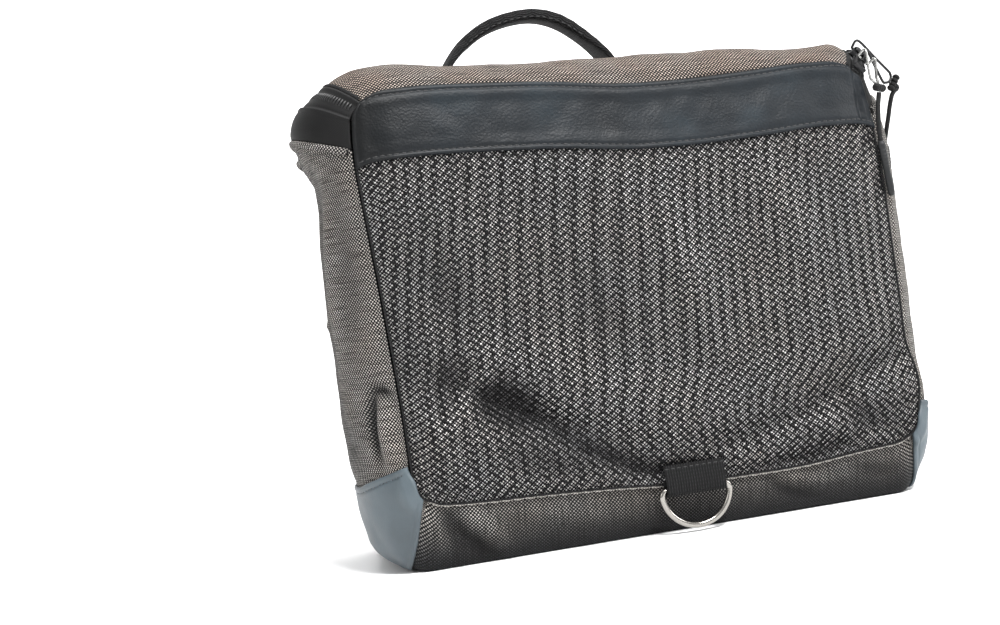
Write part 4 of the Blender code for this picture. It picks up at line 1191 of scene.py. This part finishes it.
def make_patches():
    """Coated cloth over the lower corners, with a turned edge and a row of stitches."""
    side_top = TAPE_LOW_FRONT - GUSSET_GAP
    top = (side_top - PATCH_TOP) / (side_top + 1.0)
    for name, side in (("left", -1.0), ("right", 1.0)):
        share, v = grid(np.linspace(0.0, 1.0, 91), np.linspace(0.008, 0.80, 91))
        low = top + np.interp(v, PATCH_DEPTHS, PATCH_DROPS)
        high = 1.0 + np.interp(v, PATCH_DEPTHS, PATCH_ENDS)
        s = mix(low, high, share) if name == "left" else 3.0 - mix(high, low, share)
        base = gusset_point(s, v)
        corner = np.minimum(s, 3.0 - s)
        # The patch stands proud where it turns under the bag's corner
        proud = bell(corner - 0.955, 0.032) * (1.0 - smooth(v / 0.07))
        base = base + proud[..., None] * (-0.0026 * side, -0.0024, 0.0)
        out = normals(base, -1.0)
        along = lengths(base, 0)
        deep = lengths(base, 1)
        edge = np.minimum(along - along[:1], along[-1:] - along)
        edge = np.minimum(edge, np.minimum(deep - deep[:, :1], deep[:, -1:] - deep))
        # A swell behind the front seam, a rounded cut edge and a groove under the stitches
        lift = 0.0013 + 0.0012 * bell(v - 0.04, 0.02) - 0.0006 * (1.0 - smooth(edge / 0.0009))
        lift = lift - 0.00045 * bell(edge - PATCH_STITCH_IN, 0.0007)
        uneven = cloth_noise(base, 0.016, 71.0) * 0.0007 + cloth_noise(base, 0.007, 77.0) * 0.0002
        lift = lift + uneven * smooth(edge / 0.006) * smooth(base[..., 2] / 0.006)
        outer = base + out * (LAYER_GAP + lift[..., None])
        outer[..., 2] = np.maximum(outer[..., 2], -0.0002)
        inner = base + out * LAYER_GAP * 0.5
        piece = shell("corner_patch_piece_" + name, outer, inner, -1.0, np.stack((deep, along), 2), PATCH)
        settle(piece, ["corner_patch_" + name])
        ways = normals(outer, -1.0)
        far = along - along[:1] if name == "left" else along[-1:] - along
        rows = [values.swapaxes(0, 1)[3:-3] for values in (outer, ways, far)]
        points, outs = line_at(*rows, PATCH_STITCH_IN)
        sew("patch", "_" + name, points, outs, PATCH_THREAD)


def lid_grid():
    a, v = grid(np.linspace(-0.996, 0.996, 241), np.linspace(0.004, 0.994, 131))
    outer = lid_point(a, v)
    out = normals(outer, 1.0)
    hold = smooth((1.0 - np.abs(a)) / 0.05) * smooth(v / 0.04) * smooth((1.0 - v) / 0.04)
    uneven = 0.0010 * cloth_noise(outer, 0.034, 41.0) + 0.0004 * cloth_noise(outer, 0.012, 51.0)
    outer = outer + out * (hold * uneven)[..., None]
    return outer, normals(outer, 1.0)


def make_lid():
    outer, out = lid_grid()
    threads = np.stack((outer[..., 0], lengths(outer, 1)), 2)
    piece = shell("lid_cloth", outer, outer - out * CLOTH_WALL, 1.0, threads, LID_CLOTH)
    settle(piece, ["lid"])
    points = np.concatenate((outer[0, 3:], outer[1:-1, -1], outer[-1, 3:][::-1]))
    ways = np.concatenate((out[0, 3:], out[1:-1, -1], out[-1, 3:][::-1]))
    points, ways = even_path(points - ways * 0.0002, PIPING_STEP, ways)
    settle(sweep("lid_piping", points, round_section(LID_PIPING, 10), ways, BINDING))
    # A black cord under the lid's front edge: it closes the gap between lid and band, and its dark colour
    # stands for the shadow line under the lid's edge, a painted shadow.
    points = outer[3:-3, 0] * 1.0
    points[:, 1] -= 0.0004
    points[:, 2] -= 0.0009
    points = even_path(points, PIPING_STEP)[0]
    piece = sweep("lid_front_shadow_cord", points, round_section(LID_SHADOW_CORD, 10), (0.0, 0.0, 1.0), BINDING)
    settle(piece)


def make_back():
    across = np.linspace(-1.0 + TRIM, 1.0 - TRIM, 201)
    a, b = grid(across, np.linspace(-1.0 + TRIM, TAPE_LOW_BACK - 2.0 * GUSSET_GAP, 151))
    outer = back_point(a, b)
    out = normals(outer, -1.0)
    hold = smooth((1.0 - np.abs(a)) / 0.05) * smooth((1.0 + b) / 0.05)
    uneven = 0.0006 * cloth_noise(outer, 0.030, 61.0) + 0.0003 * cloth_noise(outer, 0.010, 64.0)
    outer = outer + out * (hold * uneven)[..., None]
    out = normals(outer, -1.0)
    piece = shell("back_cloth", outer, outer - out * CLOTH_WALL, -1.0, outer[..., [0, 2]], BACK_CLOTH)
    settle(piece, ["back_panel"])
    a, b = front_border(0.004, TAPE_LOW_BACK - 0.012)
    points = back_point(a, b)
    points[:, 1] += 0.0006
    points = even_path(points, PIPING_STEP)[0]
    piece = sweep("back_piping", points, round_section(BACK_PIPING, 10), (0.0, 1.0, 0.0), BINDING)
    settle(piece)


make_gusset()
make_patches()
make_lid()
make_back()


# The zip

TEETH_PITCH = 0.0017
TEETH_AT = 0.86
TAPE_TOP = 0.996
TAPE_WALL = 0.0014


def make_zip():
    s, w = grid(np.linspace(0.004, 2.996, 401), np.linspace(0.0, TAPE_TOP, 41))
    base = tape_point(s, w)
    out = normals(base, -1.0)
    threads = np.stack((lengths(base, 0), lengths(base, 1)), 2)
    # Two welts along the tape and a groove beside the lower one
    welt = 0.0008 * bell(w - 0.66, 0.03) + 0.0006 * bell(w - 0.985, 0.03) - 0.0005 * bell(w - 0.70, 0.02)
    soft = 0.0008 * cloth_noise(base, 0.020, 81.0) * smooth(w / 0.1) * smooth((1.0 - w) / 0.1)
    outer = base + out * (welt + soft)[..., None]
    piece = shell("zip_tape_piece", outer, outer - out * TAPE_WALL, -1.0, threads, TAPE)
    settle(piece, ["zip_tape"])
    row = int(round(TEETH_AT / TAPE_TOP * (w.shape[1] - 1)))
    ways = normals(outer, -1.0)
    piece = stitches("zip_teeth", outer[4:-4, row], ways[4:-4, row], TEETH_PITCH, 0.0042, 0.00055, COIL,
                     sunk=0.0, turned=True)
    settle(piece)


make_zip()

# The handle: webbing that lies flat at its feet and is folded and sewn along its grip

HANDLE_Y = 0.036
HANDLE_MIDDLE_X = -0.0195
HANDLE_HALF = 0.050
HANDLE_RISE = 0.034
HANDLE_WIDTH = 0.025
HANDLE_THICK = 0.0024
HANDLE_GRIP_WIDTH = 0.015
HANDLE_TAB = 0.022
HANDLE_ROWS = (
    # share of the half span, of the rise, of the width, of the thickness, of the fold
    (-1.44, 0.00, 1.00, 1.00, 0.0),
    (-1.20, 0.00, 1.00, 1.00, 0.0),
    (-1.00, 0.01, 1.00, 1.00, 0.0),
    (-0.93, 0.12, 0.96, 1.10, 0.0),
    (-0.84, 0.36, 0.84, 1.50, 0.3),
    (-0.66, 0.64, 0.60, 2.50, 1.0),
    (-0.42, 0.86, 0.60, 2.75, 1.0),
    (-0.14, 0.98, 0.60, 2.75, 1.0),
    (0.14, 1.00, 0.60, 2.75, 1.0),
    (0.40, 0.88, 0.60, 2.75, 1.0),
    (0.64, 0.62, 0.60, 2.50, 1.0),
    (0.82, 0.34, 0.84, 1.50, 0.3),
    (0.92, 0.11, 0.96, 1.10, 0.0),
    (1.00, 0.01, 1.00, 1.00, 0.0),
    (1.20, 0.00, 1.00, 1.00, 0.0),
    (1.44, 0.00, 1.00, 1.00, 0.0),
)


def lid_top(x, y):
    """The height of the lid over a spot of the floor, found in a few steps."""
    a = x / HALF_WIDTH
    v = 0.6
    for _ in range(12):
        here = lid_point(a, v)
        a += (x - here[0]) / HALF_WIDTH
        v = min(max(v + (y - here[1]) * 5.0, 0.37), 0.98)
    return lid_point(a, v)[2]


def make_handle():
    lift = LAYER_GAP + HANDLE_THICK / 2.0
    ends = []
    for side in (-1.0, 1.0):
        tops = []
        for step in range(9):
            for edge in (-0.55, 0.0, 0.55):
                x = HANDLE_MIDDLE_X + side * (HANDLE_HALF + HANDLE_TAB * step / 8.0 - 0.002)
                tops.append(lid_top(x, HANDLE_Y + edge * HANDLE_WIDTH))
        ends.append(max(tops) + lift)
    rows = np.array(HANDLE_ROWS)
    base = mix(ends[0], ends[1], smooth((rows[:, 0] + 1.0) / 2.0))
    path = np.stack((HANDLE_MIDDLE_X + rows[:, 0] * HANDLE_HALF, np.full(len(rows), HANDLE_Y),
                     base + rows[:, 1] * HANDLE_RISE), 1)
    fine = 12
    count = (len(rows) - 1) * fine
    points = smooth_path(path, count)
    at = np.arange(count + 1) / fine
    keys = np.arange(len(rows))
    wide = np.interp(at, keys, rows[:, 2]) * HANDLE_WIDTH / 2.0
    thick = np.interp(at, keys, rows[:, 3]) * HANDLE_THICK / 2.0
    folded = smooth(np.interp(at, keys, rows[:, 4]))
    x, y = squared_round(40, 0.42)
    along = run_along(points)
    # The folded edges meet in a slit, and the stitches draw them in
    scallop = 0.10 * np.abs(np.sin(along * math.pi / 0.0075)) * folded
    sections = np.zeros((count + 1, len(x), 2))
    slit = bell(x[None, :], 0.16) * (y[None, :] < 0.0) * folded[:, None] * 0.5
    crown = 1.0 + 0.18 * folded[:, None] * (1.0 - x[None, :] ** 2) * (y[None, :] > 0.0)
    sections[..., 0] = wide[:, None] * x[None, :] * (1.0 - scallop[:, None] * (y[None, :] < 0.0))
    sections[..., 1] = thick[:, None] * y[None, :] * (1.0 - slit) * (crown - 0.09 * folded[:, None])
    sections[..., 1] *= -1.0
    sections = sections[:, ::-1]
    piece = sweep("handle_webbing", points, sections, (0.0, 1.0, 0.0), WEBBING)
    settle(piece, ["handle"])
    grip = points[folded > 0.9]
    for name, side in (("front", -1.0), ("rear", 1.0)):
        line = grip.copy()
        line[:, 1] += side * (HANDLE_GRIP_WIDTH / 2.0 - 0.0002)
        line[:, 2] -= 0.0016
        outs = np.tile((0.0, side, 0.0), (len(line), 1))
        sew("grip", "_" + name, line, outs)
    for number, (start, stop) in enumerate(((0, 22), (count - 22, count + 1))):
        foot = points[start:stop]
        outs = np.tile((0.0, 0.0, 1.0), (len(foot), 1))
        for row, side in enumerate((-1.0, 1.0)):
            line = foot.copy()
            line[:, 1] += side * (HANDLE_WIDTH / 2.0 - 0.0028)
            line[:, 2] += HANDLE_THICK / 2.0
            sew("handle_foot", "_%d_%d" % (number, row), line, outs)


# The ring and its loop of webbing

# Angles of the points round a half turn, in degrees
BEND_TURNS = (30.0, 60.0, 90.0, 120.0, 150.0)
RING_WIRE = 0.0030
RING_HALF = 0.0172
RING_DROP = 0.0180
RING_BEND = 0.0030
RING_PLACE = Vector((0.0075, -0.0619, 0.0212))
RING_BAR_STEPS = 6
LOOP_WIDTH = 0.0300
LOOP_WALL = 0.0013
LOOP_RISE = 0.0118
LOOP_LEAN = 0.0012


def make_ring():
    """A bent wire: the bar, a tight bend, a wide half turn and a tight bend, welded shut."""
    low = RING_DROP - RING_HALF
    small = RING_HALF - RING_BEND
    reach = math.sqrt(small ** 2 - (RING_BEND - low) ** 2)
    tilt = math.atan2(RING_BEND - low, reach)
    bpy.ops.object.select_all(action="DESELECT")
    bpy.ops.mesh.primitive_circle_add(vertices=16, radius=RING_WIRE / 2.0, location=RING_PLACE,
                                      rotation=(0.0, math.pi / 2.0, 0.0))
    ring = bpy.context.object
    bpy.ops.object.transform_apply(location=True, rotation=True, scale=True)
    bpy.ops.object.mode_set(mode="EDIT")
    bpy.ops.mesh.select_all(action="SELECT")
    for _ in range(RING_BAR_STEPS):
        draw_out(reach / RING_BAR_STEPS, 0.0, 0.0)
    turns = (
        # steps, angle, centre across, centre up
        (10, math.pi / 2.0 + tilt, reach, -RING_BEND),
        (36, math.pi - 2.0 * tilt, 0.0, -low),
        (10, math.pi / 2.0 + tilt, -reach, -RING_BEND),
    )
    for steps, angle, across, up in turns:
        centre = RING_PLACE + Vector((across, 0.0, up))
        bpy.ops.mesh.spin(steps=steps, angle=-angle, center=centre, axis=(0.0, 1.0, 0.0))
    for _ in range(RING_BAR_STEPS):
        draw_out(reach / RING_BAR_STEPS, 0.0, 0.0)
    bpy.ops.mesh.select_all(action="SELECT")
    bpy.ops.mesh.remove_doubles(threshold=0.00005)
    bpy.ops.mesh.normals_make_consistent(inside=False)
    bpy.ops.object.mode_set(mode="OBJECT")
    bpy.ops.object.shade_smooth()
    ring.name = "front_ring"
    ring.data.materials.append(NICKEL)
    settle(ring, ["d_ring"], "ring")


def make_ring_loop():
    middle = RING_WIRE / 2.0 + LAYER_GAP + LOOP_WALL / 2.0
    path = [(-middle + LOOP_LEAN, LOOP_RISE), (-middle + LOOP_LEAN * 0.5, LOOP_RISE * 0.66),
            (-middle, LOOP_RISE * 0.33), (-middle, 0.0)]
    path += arc(np.zeros(2), np.array((-middle, 0.0)), np.array((0.0, -middle)), BEND_TURNS)
    path += [(middle, 0.0), (middle - LOOP_LEAN * 0.3, LOOP_RISE * 0.20),
             (middle - LOOP_LEAN * 0.8, LOOP_RISE * 0.40)]
    points = np.array([(RING_PLACE.x, RING_PLACE.y + y, RING_PLACE.z + z) for y, z in path])
    points = smooth_path(points, 66)
    section = webbing_section(LOOP_WIDTH, LOOP_WALL, 24)
    piece = sweep("ring_loop_webbing", points, section, (1.0, 0.0, 0.0), WEBBING)
    settle(piece, ["ring_loop"])
    top = np.array([(RING_PLACE.x + x, RING_PLACE.y - middle + LOOP_LEAN * 0.9 - LOOP_WALL / 2.0,
                     RING_PLACE.z + LOOP_RISE - 0.0016) for x in np.linspace(-0.0138, 0.0138, 30)])
    sew("ring_loop", "", top, np.tile((0.0, -1.0, 0.1), (30, 1)))


# The straps for the bar

STRAP_WIDTH = 0.025
STRAP_WALL = 0.0018
STRAP_X = 0.062
BAR_RADIUS = 0.0159
BAR_CLEAR = 0.0006
BAR_Z = 0.176
STRAP_LOW_Z = 0.112
STRAP_FILLET = 0.0070


def make_straps():
    first = BACK_SEAM_Y + BACK_PLATE_STEP + LAYER_GAP + STRAP_WALL / 2.0
    second = first + STRAP_WALL + LAYER_GAP
    round_r = BAR_RADIUS + BAR_CLEAR + STRAP_WALL / 2.0
    middle_y = first + round_r
    low = BAR_Z - round_r
    path = [(first, STRAP_LOW_Z + z) for z in (0.0, 0.020, 0.040)]
    path += [(first, BAR_Z)]
    ahead = np.array((1.0, 0.0))
    up = np.array((0.0, 1.0))
    bar = np.array((middle_y, BAR_Z))
    path += arc(bar, round_r * ahead, round_r * up, np.linspace(165.0, -90.0, 18))
    fillet = np.array((second + STRAP_FILLET, low - STRAP_FILLET))
    turns = (90.0, 112.0, 135.0, 158.0, 180.0)
    path += arc(fillet, STRAP_FILLET * ahead, STRAP_FILLET * up, turns)
    path += [(second, STRAP_LOW_Z + 0.020), (second, STRAP_LOW_Z + 0.006)]
    for name, side in (("left", -1.0), ("right", 1.0)):
        points = smooth_path([(side * STRAP_X, y, z) for y, z in path], 4 * (len(path) - 1))
        section = webbing_section(STRAP_WIDTH, STRAP_WALL, 20)
        piece = sweep("bar_strap_webbing_" + name, points, section, (1.0, 0.0, 0.0), WEBBING)
        settle(piece, ["bar_strap_" + name])
        half = STRAP_WIDTH / 2.0 - 0.003
        y = second + STRAP_WALL / 2.0
        box = ((-half, 0.009), (half, 0.009), (half, 0.026), (-half, 0.026))
        corners = [box[k] for k in (0, 1, 2, 3, 0, 2, 1, 3)]
        line = np.array([(side * STRAP_X + x, y, STRAP_LOW_Z + z) for x, z in corners])
        sew("bar_strap", "_" + name, line, np.tile((0.0, 1.0, 0.0), (len(line), 1)))


# Sliders and their pulls

SLIDER_LENGTH = 0.0115
SLIDER_WIDTH = 0.0080
SLIDER_BODY = 0.0026
SLIDER_BRIDGE = 0.0030
SLIDER_BRIDGE_WALL = 0.0010
SLIDER_LIFT = 0.0008
PULL_WIRE = 0.0014
PULL_HALF = 0.0034
PULL_STAND = 0.0046
PULL_BEND = 0.0007
CORD_THICK = 0.0024
KNOT_HALF = 0.0048
KNOT_THICK = 0.0026
GRIP_WIDTH = 0.0056
SLIDER_PLACES = (("front", 2.910, 0.86), ("rear", 2.760, 0.86))
# Per pull: the knot, then the top and the bottom of the grip, as steps from the slider.
PULL_STEPS = {
    "front": ((0.0058, -0.0082, -0.0108), (0.0043, -0.0074, -0.0388), (0.0065, -0.0074, -0.0663)),
    "rear": ((0.0217, 0.0018, -0.0128), (0.0203, 0.0138, -0.0443), (0.0221, 0.0178, -0.0718)),
}
# The open cord of each pull, from its knot to its grip.
CORD_ROUTES = {
    "front": ((0.1292, -0.0607, 0.1978), (0.1291, -0.0606, 0.1972), (0.1289, -0.0605, 0.1961),
              (0.1286, -0.0603, 0.1946), (0.1282, -0.0602, 0.1927), (0.1278, -0.0600, 0.1900),
              (0.1275, -0.0598, 0.1861), (0.1272, -0.0596, 0.1818), (0.1272, -0.0594, 0.1786),
              (0.1273, -0.0593, 0.1763), (0.1274, -0.0592, 0.1748)),
    "rear": ((0.1521, -0.0346, 0.2032), (0.1529, -0.0341, 0.2028), (0.1536, -0.0335, 0.2022),
             (0.1530, -0.0336, 0.2013), (0.1510, -0.0347, 0.2003), (0.1492, -0.0350, 0.1980),
             (0.1482, -0.0335, 0.1933), (0.1477, -0.0311, 0.1875), (0.1474, -0.0287, 0.1827),
             (0.1474, -0.0260, 0.1783), (0.1475, -0.0241, 0.1753)),
}
# The cord is moulded into its grip for this length.
CORD_IN_GRIP = 0.0095
KNOT_COIL = 0.0009
KNOT_STRAND = 0.00105
GRIP_FLATNESS = 0.72
GRIP_ROWS = (
    # share along the grip, share of the width, share of the thickness
    (0.00, 0.52, 0.66),
    (0.015, 0.62, 0.80),
    (0.06, 0.80, 0.95),
    (0.30, 0.92, 0.95),
    (0.55, 0.84, 0.80),
    (0.78, 1.00, 0.90),
    (0.94, 0.96, 0.85),
    (0.985, 0.78, 0.66),
    (1.00, 0.52, 0.40),
)


def slider_frame(along, across):
    """The middle of a slider on the tape, with the ways along, over and out."""
    here = tape_point(along, across)
    ahead = tape_point(along + 0.01, across) - tape_point(along - 0.01, across)
    forward = unit(ahead)
    up = tape_point(along, across + 0.01) - tape_point(along, across - 0.01)
    out = unit(-np.cross(ahead, up))
    over = unit(np.cross(forward, out))
    if over[2] < 0.0:
        over = -over
    return here, forward, over, out


def draw_out(across, along, up):
    """Extrudes the selected faces or edges by a step."""
    bpy.ops.mesh.extrude_region_move(TRANSFORM_OT_translate={"value": (across, along, up)})


def start_block(place, size):
    """A box of a size about a place, to be shaped further."""
    bpy.ops.object.select_all(action="DESELECT")
    bpy.ops.mesh.primitive_cube_add(size=1.0, location=place)
    bpy.context.object.scale = size
    bpy.ops.object.transform_apply(location=True, rotation=True, scale=True)
    return bpy.context.object


def sink(rim, depth):
    """Insets the selected faces and presses them in."""
    bpy.ops.mesh.inset(thickness=rim)
    bpy.ops.mesh.extrude_region_shrink_fatten(TRANSFORM_OT_shrink_fatten={"value": -depth})


def pick(piece, test):
    """Selects the faces of a piece whose middle passes a test, for the next tool."""
    bpy.ops.object.mode_set(mode="EDIT")
    bpy.ops.mesh.select_all(action="DESELECT")
    bpy.ops.mesh.select_mode(type="FACE")
    bpy.ops.object.mode_set(mode="OBJECT")
    for face in piece.data.polygons:
        face.select = bool(test(face.center, face.normal))
    bpy.ops.object.mode_set(mode="EDIT")


def make_slider_body():
    """A die-cast slider: a plate with a narrower nose, rounded edges and a raised spine."""
    body = start_block((0.0, 0.0, SLIDER_BODY / 2.0), (SLIDER_LENGTH, SLIDER_WIDTH, SLIDER_BODY))
    pick(body, lambda centre, normal: normal.x < -0.5)
    bpy.ops.transform.resize(value=(1.0, 0.62, 0.9))
    pick(body, lambda centre, normal: normal.x > 0.5)
    bpy.ops.transform.resize(value=(1.0, 0.86, 0.9))
    pick(body, lambda centre, normal: abs(normal.y) > 0.5)
    sink(0.0006, 0.0007)
    pick(body, lambda centre, normal: normal.z > 0.9 and centre.z > SLIDER_BODY * 0.9)
    sink(0.0012, 0.0003)
    bpy.ops.object.mode_set(mode="OBJECT")
    round_off(body, 0.0004)
    return body


def make_slider_bridge():
    """The arch that holds the pull: a bent strip, thick at its feet."""
    length = SLIDER_LENGTH / 2.0
    foot = SLIDER_BODY + 0.0004
    arch = start_block((-length * 0.70, 0.0, foot), (length * 0.20, 0.0024, 0.0007))
    pick(arch, lambda centre, normal: normal.z > 0.5)
    rise = SLIDER_BRIDGE - SLIDER_BRIDGE_WALL
    draw_out(length * 0.12, 0.0, rise)
    draw_out(length * 0.10, 0.0, 0.0008)
    pick(arch, lambda centre, normal: normal.x > 0.3 and centre.z > SLIDER_BODY + rise)
    draw_out(length * 0.72, 0.0, 0.0)
    pick(arch, lambda centre, normal: normal.z < -0.5 and centre.x > -length * 0.4)
    bpy.ops.mesh.subdivide(number_cuts=2)
    pick(arch, lambda centre, normal: normal.z < -0.5 and centre.x > length * 0.02)
    draw_out(length * 0.14, 0.0, -rise * 0.9)
    bpy.ops.object.mode_set(mode="OBJECT")
    round_off(arch, 0.00025)
    return arch


def round_off(piece, width):
    """Rounds the edges of a hard piece with an applied bevel."""
    edge = piece.modifiers.new("rounding", "BEVEL")
    edge.width = width
    edge.segments = 3
    edge.limit_method = "ANGLE"
    bpy.ops.object.modifier_apply(modifier="rounding")
    bpy.ops.object.shade_smooth_by_angle(angle=math.radians(40.0))


def place_copy(model, name, matrix, finish):
    """A copy of a model with its own mesh, put in its place."""
    mesh = model.data.copy()
    mesh.name = name
    mesh.transform(matrix)
    mesh.materials.append(finish)
    return place_object(name, mesh)


def tube(name, points, radii, finish, count=12, closed=False):
    """A round rod along a path, one radius for all or one per point."""
    radii = np.broadcast_to(radii, (len(points),))
    ring = round_section(1.0, count)
    sections = ring[None] * radii[:, None, None]
    points = np.asarray(points, float)
    piece = sweep(name, points, sections, steady_side(points, closed), finish, closed)
    turn_out(piece)
    return piece


def steady_side(points, closed=False):
    """A side direction that turns as little as it can along a path."""
    forward = forward_along(points, closed)
    side = np.cross(forward[0], (0.13, 0.31, 0.94))
    made = []
    for way in forward:
        side = unit(side - way * np.dot(side, way))
        made.append(side)
    return np.array(made)


def make_pull_wire(name, knot, top, over, out, down, wide):
    """A closed loop of wire through the slider's bridge, with the cord's knot at its foot."""
    half = PULL_HALF
    low = knot - down * half
    left = top - over * half
    right = top + over * half
    points = [left + over * PULL_BEND, top - over * half * 0.3, top + over * half * 0.3,
              right - over * PULL_BEND, right + out * PULL_BEND, right + out * PULL_STAND,
              (right + out * PULL_STAND + low + wide * half) / 2.0, low + wide * half]
    points += arc(low, wide * half, down * half, BEND_TURNS)
    points += [low - wide * half, (left + out * PULL_STAND + low - wide * half) / 2.0,
               left + out * PULL_STAND, left + out * PULL_BEND]
    loop = smooth_path(points + points[:1], 96)[:-1]
    finish = BRIGHT_WIRE if name == "front" else BLACK_METAL
    piece = tube("pull_wire_" + name, loop, PULL_WIRE / 2.0, finish, closed=True)
    settle(piece, ["pull_loop_" + name])


def make_knot(name, middle, down, wide):
    """Four coils of cord side by side, tied by a strand along them."""
    front = np.cross(down, wide)
    angles = np.linspace(0.0, 2.0 * math.pi, 25)[:-1]
    coil = np.outer(np.cos(angles), front) * KNOT_COIL, np.outer(np.sin(angles), down) * KNOT_COIL
    strands = []
    for share in (-0.26, -0.72, 0.26, 0.72):
        strands.append((middle + wide * (share * KNOT_HALF) + coil[0] + coil[1], True))
    strands.append((middle + np.outer(np.linspace(-0.9, 0.9, 13), wide) * KNOT_HALF - front * 0.0006, False))
    parts = []
    for number, (line, closed) in enumerate(strands):
        label = "pull_knot_strand_%s_%d" % (name, number)
        parts.append(tube(label, line, KNOT_STRAND, CORD, closed=closed))
    bpy.ops.object.select_all(action="DESELECT")
    for part in parts:
        part.select_set(True)
    bpy.context.view_layer.objects.active = parts[0]
    bpy.ops.object.join()
    parts[0].name = "pull_knot_cord_" + name
    settle(parts[0], ["pull_knot_" + name])
    return parts[0]


def make_grip(name, top, low, forward):
    """The moulded grip, with ribs over its upper half."""
    rows = np.array(GRIP_ROWS)
    at = np.linspace(0.0, 1.0, 81)
    ribs = 1.0 - 0.07 * (np.sin(at * math.pi / 0.035) > 0.3) * ((at > 0.12) & (at < 0.50))
    wide, thick = [np.interp(at, rows[:, 0], rows[:, column]) * ribs for column in (1, 2)]
    x, y = squared_round(24, 0.6)
    sections = np.stack((np.outer(wide, x), np.outer(thick, y) * GRIP_FLATNESS), 2) * (GRIP_WIDTH / 2.0)
    way = unit(low - top)
    flat = unit(forward - way * np.dot(forward, way))
    line = top + np.outer(at, low - top)
    piece = sweep("pull_grip_rubber_" + name, line, sections, flat, RUBBER)
    turn_out(piece)
    settle(piece, ["pull_grip_" + name])
    return piece, way


def make_cord(name, grip_way):
    line = [np.array(p) for p in CORD_ROUTES[name]]
    line += [line[-1] + grip_way * d for d in np.linspace(0.0, CORD_IN_GRIP, 5)[1:]]
    line = smooth_path(line, 56)
    cord = tube("pull_cord_braid_" + name, line, CORD_THICK / 2.0, CORD)
    settle(cord, ["pull_cord_" + name])


def make_pulls():
    body = make_slider_body()
    bridge = make_slider_bridge()
    for name, along, across in SLIDER_PLACES:
        here, forward, over, out = slider_frame(along, across)
        turn = np.stack((forward, over, out), 1)
        if np.linalg.det(turn) < 0.0:
            turn[:, 1] *= -1.0
        matrix = Matrix(turn.tolist()).to_4x4()
        matrix.translation = Vector(here + out * SLIDER_LIFT)
        for model, label, node in ((body, "body", "slider_"), (bridge, "arch", "slider_bridge_")):
            piece = place_copy(model, "slider_%s_%s" % (label, name), matrix, BLACK_METAL)
            settle(piece, [node + name])
        knot, grip_top, grip_low = [here + np.array(p) for p in PULL_STEPS[name]]
        top = here + out * (SLIDER_LIFT + SLIDER_BODY + (SLIDER_BRIDGE - SLIDER_BRIDGE_WALL) / 2.0)
        down = unit(knot - top)
        wide = unit(over - down * np.dot(over, down))
        make_pull_wire(name, knot, top, over, out, down, wide)
        middle = knot + down * (PULL_WIRE / 2.0 + KNOT_THICK / 2.0 + LAYER_GAP)
        knot_piece = make_knot(name, middle, down, wide)
        grip_piece, grip_way = make_grip(name, grip_top, grip_low, forward)
        make_cord(name, grip_way)
    for model in (body, bridge):
        bpy.data.objects.remove(model)


make_handle()
make_ring()
make_ring_loop()
make_straps()
make_pulls()

# Floor, light and camera

def make_stage():
    bpy.ops.object.select_all(action="DESELECT")
    bpy.ops.mesh.primitive_plane_add(size=8.0, location=(0.0, 1.4, 0.0))
    floor = bpy.context.object
    floor.name = "floor"
    bpy.ops.object.mode_set(mode="EDIT")
    bpy.ops.mesh.select_mode(type="EDGE")
    bpy.ops.mesh.select_all(action="DESELECT")
    bpy.ops.object.mode_set(mode="OBJECT")
    for edge in floor.data.edges:
        ends = [floor.data.vertices[i].co.y for i in edge.vertices]
        edge.select = min(ends) > 3.9
    bpy.ops.object.mode_set(mode="EDIT")
    draw_out(0.0, 0.6, 0.35)
    draw_out(0.0, 0.2, 2.5)
    bpy.ops.object.mode_set(mode="OBJECT")
    made, _, skin = start_finish("white_paper_floor", Roughness=0.9)
    skin.inputs["Base Color"].default_value = linear("#f7f7f7")
    floor.data.materials.append(made)


def make_light(name, place, aim, size, power):
    lamp = bpy.data.lights.new(name, "AREA")
    lamp.shape = "RECTANGLE"
    lamp.size = size[0]
    lamp.size_y = size[1]
    lamp.energy = power
    thing = place_object(name, lamp)
    thing.location = place
    thing.rotation_euler = (Vector(aim) - Vector(place)).to_track_quat("-Z", "Y").to_euler()


def make_camera():
    azimuth = math.radians(VIEW_AZIMUTH)
    roll = math.radians(VIEW_ROLL)
    back = Vector((math.sin(azimuth), -math.cos(azimuth), 0.0))
    right = (-back).cross(Vector((0.0, 0.0, 1.0))).normalized()
    up = right.cross(-back)
    turned_right = right * math.cos(roll) - up * math.sin(roll)
    turned_up = right * math.sin(roll) + up * math.cos(roll)
    lens = bpy.data.cameras.new("photo_view")
    lens.sensor_width = SENSOR_WIDTH_MM
    lens.lens = VIEW_FOCUS_PIXELS / PICTURE_WIDTH_PIXELS * SENSOR_WIDTH_MM
    eye = place_object("photo_view", lens)
    matrix = Matrix((turned_right, turned_up, back)).transposed().to_4x4()
    matrix.translation = Vector(VIEW_PLACE)
    eye.matrix_world = matrix
    bpy.context.scene.camera = eye


def make_world():
    sky = bpy.data.worlds.new("white_studio")
    bpy.context.scene.world = sky
    sky.use_nodes = True
    tree = sky.node_tree
    tree.nodes.clear()
    glow = add(tree, "Background", [("Color", linear("#ffffff")), ("Strength", 0.50)])
    add(tree, "OutputWorld", [("Surface", glow.outputs[0])])


make_stage()
make_world()
make_light("key", (0.20, -1.15, 1.50), (0.0, 0.0, 0.12), (0.5, 0.4), 54.0)
make_light("left_fill", (-1.4, -0.8, 0.8), (0.0, 0.0, 0.1), (0.7, 0.7), 4.0)
make_light("right_fill", (1.4, -0.7, 0.7), (0.0, 0.0, 0.1), (0.7, 0.7), 13.0)
make_light("backdrop", (1.2, 2.0, 2.4), (1.2, 4.2, 0.3), (6.0, 2.0), 420.0)
make_light("top", (0.0, 0.1, 1.5), (0.0, 0.0, 0.1), (1.2, 0.8), 16.0)
make_camera()
bpy.context.scene.view_settings.view_transform = "Standard"
